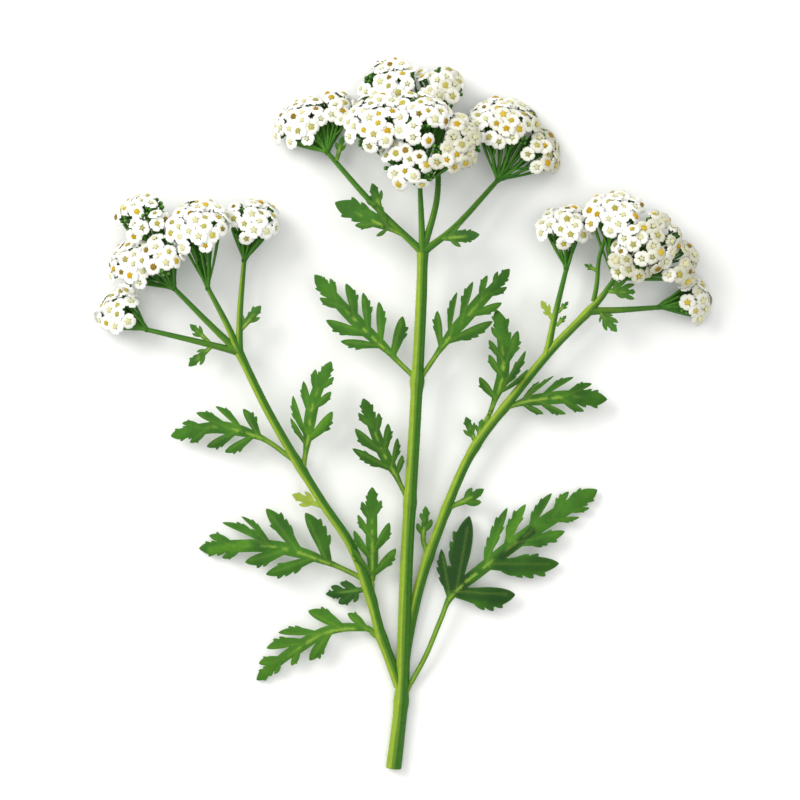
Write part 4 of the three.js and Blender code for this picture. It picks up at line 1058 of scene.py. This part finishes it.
def bud_template():
    """A green bud: the cup closed over by a creased dome."""
    points, faces, colours = cup_template()
    angles = circle(BUD_SIDES)
    profile = []
    for p in np.linspace(0.02, math.pi / 2 + 0.3, BUD_LEVELS):
        crease = 1 - 0.1 * (1 + np.cos(8 * angles)) / 2 * np.sin(p)
        profile.append((1.45 * np.sin(p) * crease, 1.5 * np.cos(p) - 0.2))
    dome = rings_of(profile, angles)
    return (np.vstack([points, dome]), np.vstack([faces, tube_faces(BUD_LEVELS, BUD_SIDES) + len(points)]),
            np.vstack([colours, mix(CUP, CUP_EDGE, smooth(0.6, 1.2, dome[:, 2]))]))


def green_tube(shape, points, foot, more, start, samples, sides, step):
    """A pedicel through points. Its radius grows by more from a start, per length, to its end."""
    path = Path(points, samples=samples)
    tube(shape, path, lambda d: foot + more * smooth(start, 1, d / path.length), pedicel_colours, sides, step)


def pedicel_colours(distance, angle, out):
    # painted highlight on the side that faces the key lamp, painted shade on the other
    return mix(PEDICEL_PAINTED_SHADE, PEDICEL_PAINTED_LIT, smooth(-0.2, 0.8, -out[..., 0] + 0.35 * out[..., 2]))


def bud_cluster(shape, f, bud, axes, foot):
    """A few buds round the place of a floret, each on its own pedicel."""
    points, faces, colours = bud
    for k in range(BUDS):
        aside = toward(axes[0], axes[1], TURN * k / BUDS + f["spin"]) * random.uniform(1.1, 1.7)
        place = f["point"] + aside - f["facing"] * (BUD_SINK + random.uniform(-0.4, 0.6))
        shape.add(points * BUD_SIZE * random.uniform(0.85, 1.2) @ axes + place, faces, colours)
        green_tube(shape, [place - f["facing"] * 1.5, place - f["facing"] * 3 - aside * 0.5, foot],
                   BUD_PEDICEL_RADIUS, 0, 0, 4, 5, 1.6)


def make_spray(head, open_cup, bud):
    """Hub, branches, pedicels and cups of one flower head."""
    shape = Shape()
    hub = np.array(head["hub"], dtype=float)
    branches = {}
    for f in head["florets"]:
        axes = facing_axes(f["facing"], f["spin"] + 1.0)
        foot = f["point"] - f["facing"] * (CUP_DROP + CUP_LENGTH * f["size"])
        if f["bud"]:
            bud_cluster(shape, f, bud, axes, foot)
        else:
            points, faces, colours = open_cup
            shape.add(points * f["size"] @ axes + f["point"] - f["facing"] * CUP_DROP, faces,
                      colours * random.uniform(0.85, 1.15))
        dome = head["built"][f["dome"]]
        flat = f["point"] - dome["centre"]
        sector = int((math.atan2(flat @ dome["fore"], flat @ dome["side"]) / TURN % 1) * SECTORS)
        if norm(flat - dome["up"] * (flat @ dome["up"])) < 0.35 * dome["surface"]:
            sector = SECTORS
        branches.setdefault((f["dome"], sector), []).append((foot, f["facing"]))
    for (number, _), ends in branches.items():
        middle = np.array([foot for foot, _ in ends]).mean(axis=0)
        up = head["built"][number]["up"]
        fork = hub + (middle - hub) * 0.5 - up * 0.06 * norm(middle - hub)
        path = Path([hub, (hub + fork) / 2 - up * 0.8, fork], samples=8)
        tube(shape, path, lambda d: blend(*BRANCH_RADII, d / path.length), pedicel_colours, 9, 1.2)
        for foot, facing in ends:
            span = norm(foot - fork)
            bend = fork + (foot - fork) * 0.5 - facing * 0.12 * span
            green_tube(shape, [fork, bend, foot - facing * 0.1 * span, foot + facing * 0.15],
                       PEDICEL_RADIUS, 0.12, 0.75, 6, 6, 1.4)
    for dome in head["built"]:
        fan(shape, hub, dome, head.get("fan", FAN))
    knot(shape, hub)
    make_piece("spray_" + head["name"], shape, ["spray"], "spray", 60)


def fan(shape, hub, dome, count):
    """More pedicels, side by side, that close the fan between the hub and the underside of a dome."""
    for i in range(count):
        flat = toward(dome["side"], dome["fore"], TURN * (i + random.uniform(-0.2, 0.2)) / count)
        end = dome["centre"] + flat * dome["surface"] * random.uniform(0.45, 0.72) - dome["up"] * 0.8
        end[2] = max(end[2], 1.0)
        middle = (hub + end) / 2 - dome["up"] * 0.04 * norm(end - hub)
        green_tube(shape, [hub, middle, end], FAN_RADIUS, 0.3, 0, 8, 6, 1.6)


def knot(shape, hub):
    """The swollen joint that a head's branches grow from."""
    angles = circle(HUB_SIDES)
    profile = [(HUB_RADIUS * np.sin(p) * (1 + 0.08 * np.sin(5 * angles) * np.sin(p)), HUB_RADIUS * np.cos(p))
               for p in np.linspace(0.02, math.pi - 0.02, HUB_LEVELS)]
    shape.add(hub + rings_of(profile, angles), tube_faces(HUB_LEVELS, HUB_SIDES), KNOT)


def make_heads():
    templates = [floret_template(kind) for kind in range(FLORET_KINDS)]
    cup, bud = cup_template(), bud_template()
    placed = []
    for head in HEADS:
        head["built"] = [make_dome(head, *dome) for dome in head["domes"]]
        head["florets"] = place_florets(head, placed)
        if head.get("rests"):
            settle(head, templates)
        placed += [f["point"] for f in head["florets"]]
        make_florets(head, templates)
        make_spray(head, cup, bud)


# ---- materials. Tint: noise scale and detail, darkest, lightest. Roughness: noise scale, least, most.
# Bump: scale, depth in metres, strength ----
LEAF_LOOK = dict(tint=(700, 4, 0.8, 1.2), rough=(1500, 0.6, 0.8), bump=(1500, 0.00014, 0.6), specular=0.16)
LOOKS = dict(
    stem=dict(tint=(420, 3, 0.78, 1.22), rough=(900, 0.42, 0.66), bump=(2600, 0.00012, 0.7), specular=0.16),
    leaf=LEAF_LOOK,
    dark_leaf=LEAF_LOOK,
    spray=dict(tint=(900, 3, 0.8, 1.2), rough=(1300, 0.5, 0.75), bump=(3200, 0.0001, 0.7), specular=0.16),
    petal=dict(tint=(800, 3, 0.95, 1.03), rough=(1500, 0.55, 0.8), bump=(3000, 0.00008, 0.5), specular=0.2),
    disc=dict(tint=(2500, 3, 0.8, 1.15), rough=(3000, 0.6, 0.85), bump=(5000, 0.00008, 0.7), specular=0.2),
)
NOISE_DETAIL, BUMP_DETAIL, NOISE_ROUGHNESS = 3, 4, 0.55


def new_material(name, specular):
    material = bpy.data.materials.new(name)
    material.use_nodes = True
    shader = material.node_tree.nodes["Principled BSDF"]
    shader.inputs["Specular IOR Level"].default_value = specular
    return material, material.node_tree, shader


def add_node(tree, kind, values, links):
    """A node with values for some inputs, and links to others from outputs."""
    node = tree.nodes.new("ShaderNode" + kind)
    for name, value in values.items():
        node.inputs[name].default_value = value
    for name, output in links.items():
        tree.links.new(output, node.inputs[name])
    return node


def plant_material(name):
    """A piece's own tint with lighter and darker specks, an uneven gloss, and a grain: cells on leaves."""
    look = LOOKS[name]
    material, tree, shader = new_material("yarrow_" + name, look["specular"])
    place = tree.nodes.new("ShaderNodeTexCoord").outputs["Object"]

    def noise_at(scale, detail):
        values = {"Scale": scale, "Detail": detail, "Roughness": NOISE_ROUGHNESS}
        return add_node(tree, "TexNoise", values, {"Vector": place}).outputs["Fac"]

    def ranged(value, low, high):
        return add_node(tree, "MapRange", {"To Min": low, "To Max": high}, {"Value": value}).outputs["Result"]

    scale, detail, *ends = look["tint"]
    tint = tree.nodes.new("ShaderNodeAttribute")
    tint.attribute_name = "tint"
    specks = tree.nodes.new("ShaderNodeVectorMath")
    specks.operation = "SCALE"
    tree.links.new(tint.outputs["Color"], specks.inputs[0])
    tree.links.new(ranged(noise_at(scale, detail), *ends), specks.inputs["Scale"])
    tree.links.new(specks.outputs["Vector"], shader.inputs["Base Color"])
    scale, *ends = look["rough"]
    tree.links.new(ranged(noise_at(scale, NOISE_DETAIL), *ends), shader.inputs["Roughness"])
    scale, depth, strength = look["bump"]
    if look is LEAF_LOOK:
        grain = add_node(tree, "TexVoronoi", {"Scale": scale}, {"Vector": place}).outputs["Distance"]
    else:
        grain = noise_at(scale, BUMP_DETAIL)
    bump = add_node(tree, "Bump", {"Distance": depth, "Strength": strength}, {"Height": grain})
    tree.links.new(bump.outputs["Normal"], shader.inputs["Normal"])
    return material


# ---- floor, light and camera, in metres ----
VIEW_WIDTH = 0.304
VIEW_CENTRE = Vector((-0.0017, 0.00575, 0.01))
LENS, SENSOR = 120, 36
FLOOR_HALF, FLOOR_DROP = 3.0, 0.0001
LAMPS = (("key", (-0.75, 0.55, 0.95), 0.7, 9.5, (1.0, 0.985, 0.95)),
         ("top", (0.15, 0.1, 1.6), 1.6, 12, (1, 1, 1)))  # name, place, size, power, colour
SKY = 0.55


def make_floor():
    mesh = bpy.data.meshes.new("floor")
    s = FLOOR_HALF
    mesh.from_pydata([(-s, -s, 0), (s, -s, 0), (s, s, 0), (-s, s, 0)], [], [(0, 1, 2, 3)])
    floor = bpy.data.objects.new("floor", mesh)
    bpy.context.collection.objects.link(floor)
    floor.location.z = -FLOOR_DROP
    material, _, shader = new_material("floor", 0.1)
    shader.inputs["Base Color"].default_value = (0.9, 0.9, 0.89, 1)
    shader.inputs["Roughness"].default_value = 0.9
    mesh.materials.append(material)


def area_light(name, place, size, power, colour):
    light = bpy.data.lights.new(name, "AREA")
    light.shape, light.size, light.energy, light.color = "DISK", size, power, colour
    lamp = bpy.data.objects.new(name, light)
    bpy.context.collection.objects.link(lamp)
    lamp.location = place
    lamp.rotation_euler = (VIEW_CENTRE - Vector(place)).to_track_quat("-Z", "Y").to_euler()


def make_stage():
    make_floor()
    for lamp in LAMPS:
        area_light(*lamp)
    world = bpy.data.worlds.new("studio")
    world.use_nodes = True
    world.node_tree.nodes["Background"].inputs["Color"].default_value = (1, 1, 1, 1)
    world.node_tree.nodes["Background"].inputs["Strength"].default_value = SKY
    scene = bpy.context.scene
    scene.world = world
    scene.view_settings.view_transform = "Standard"
    data = bpy.data.cameras.new("camera")
    data.lens, data.sensor_width = LENS, SENSOR
    camera = bpy.data.objects.new("camera", data)
    bpy.context.collection.objects.link(camera)
    camera.location = VIEW_CENTRE + Vector((0, 0, VIEW_WIDTH * LENS / SENSOR))
    scene.camera = camera


# ---- the plant ----
make_stage()
make_stem()
for number, leaf in enumerate(LEAVES):
    make_leaf(leaf, number)
make_heads()
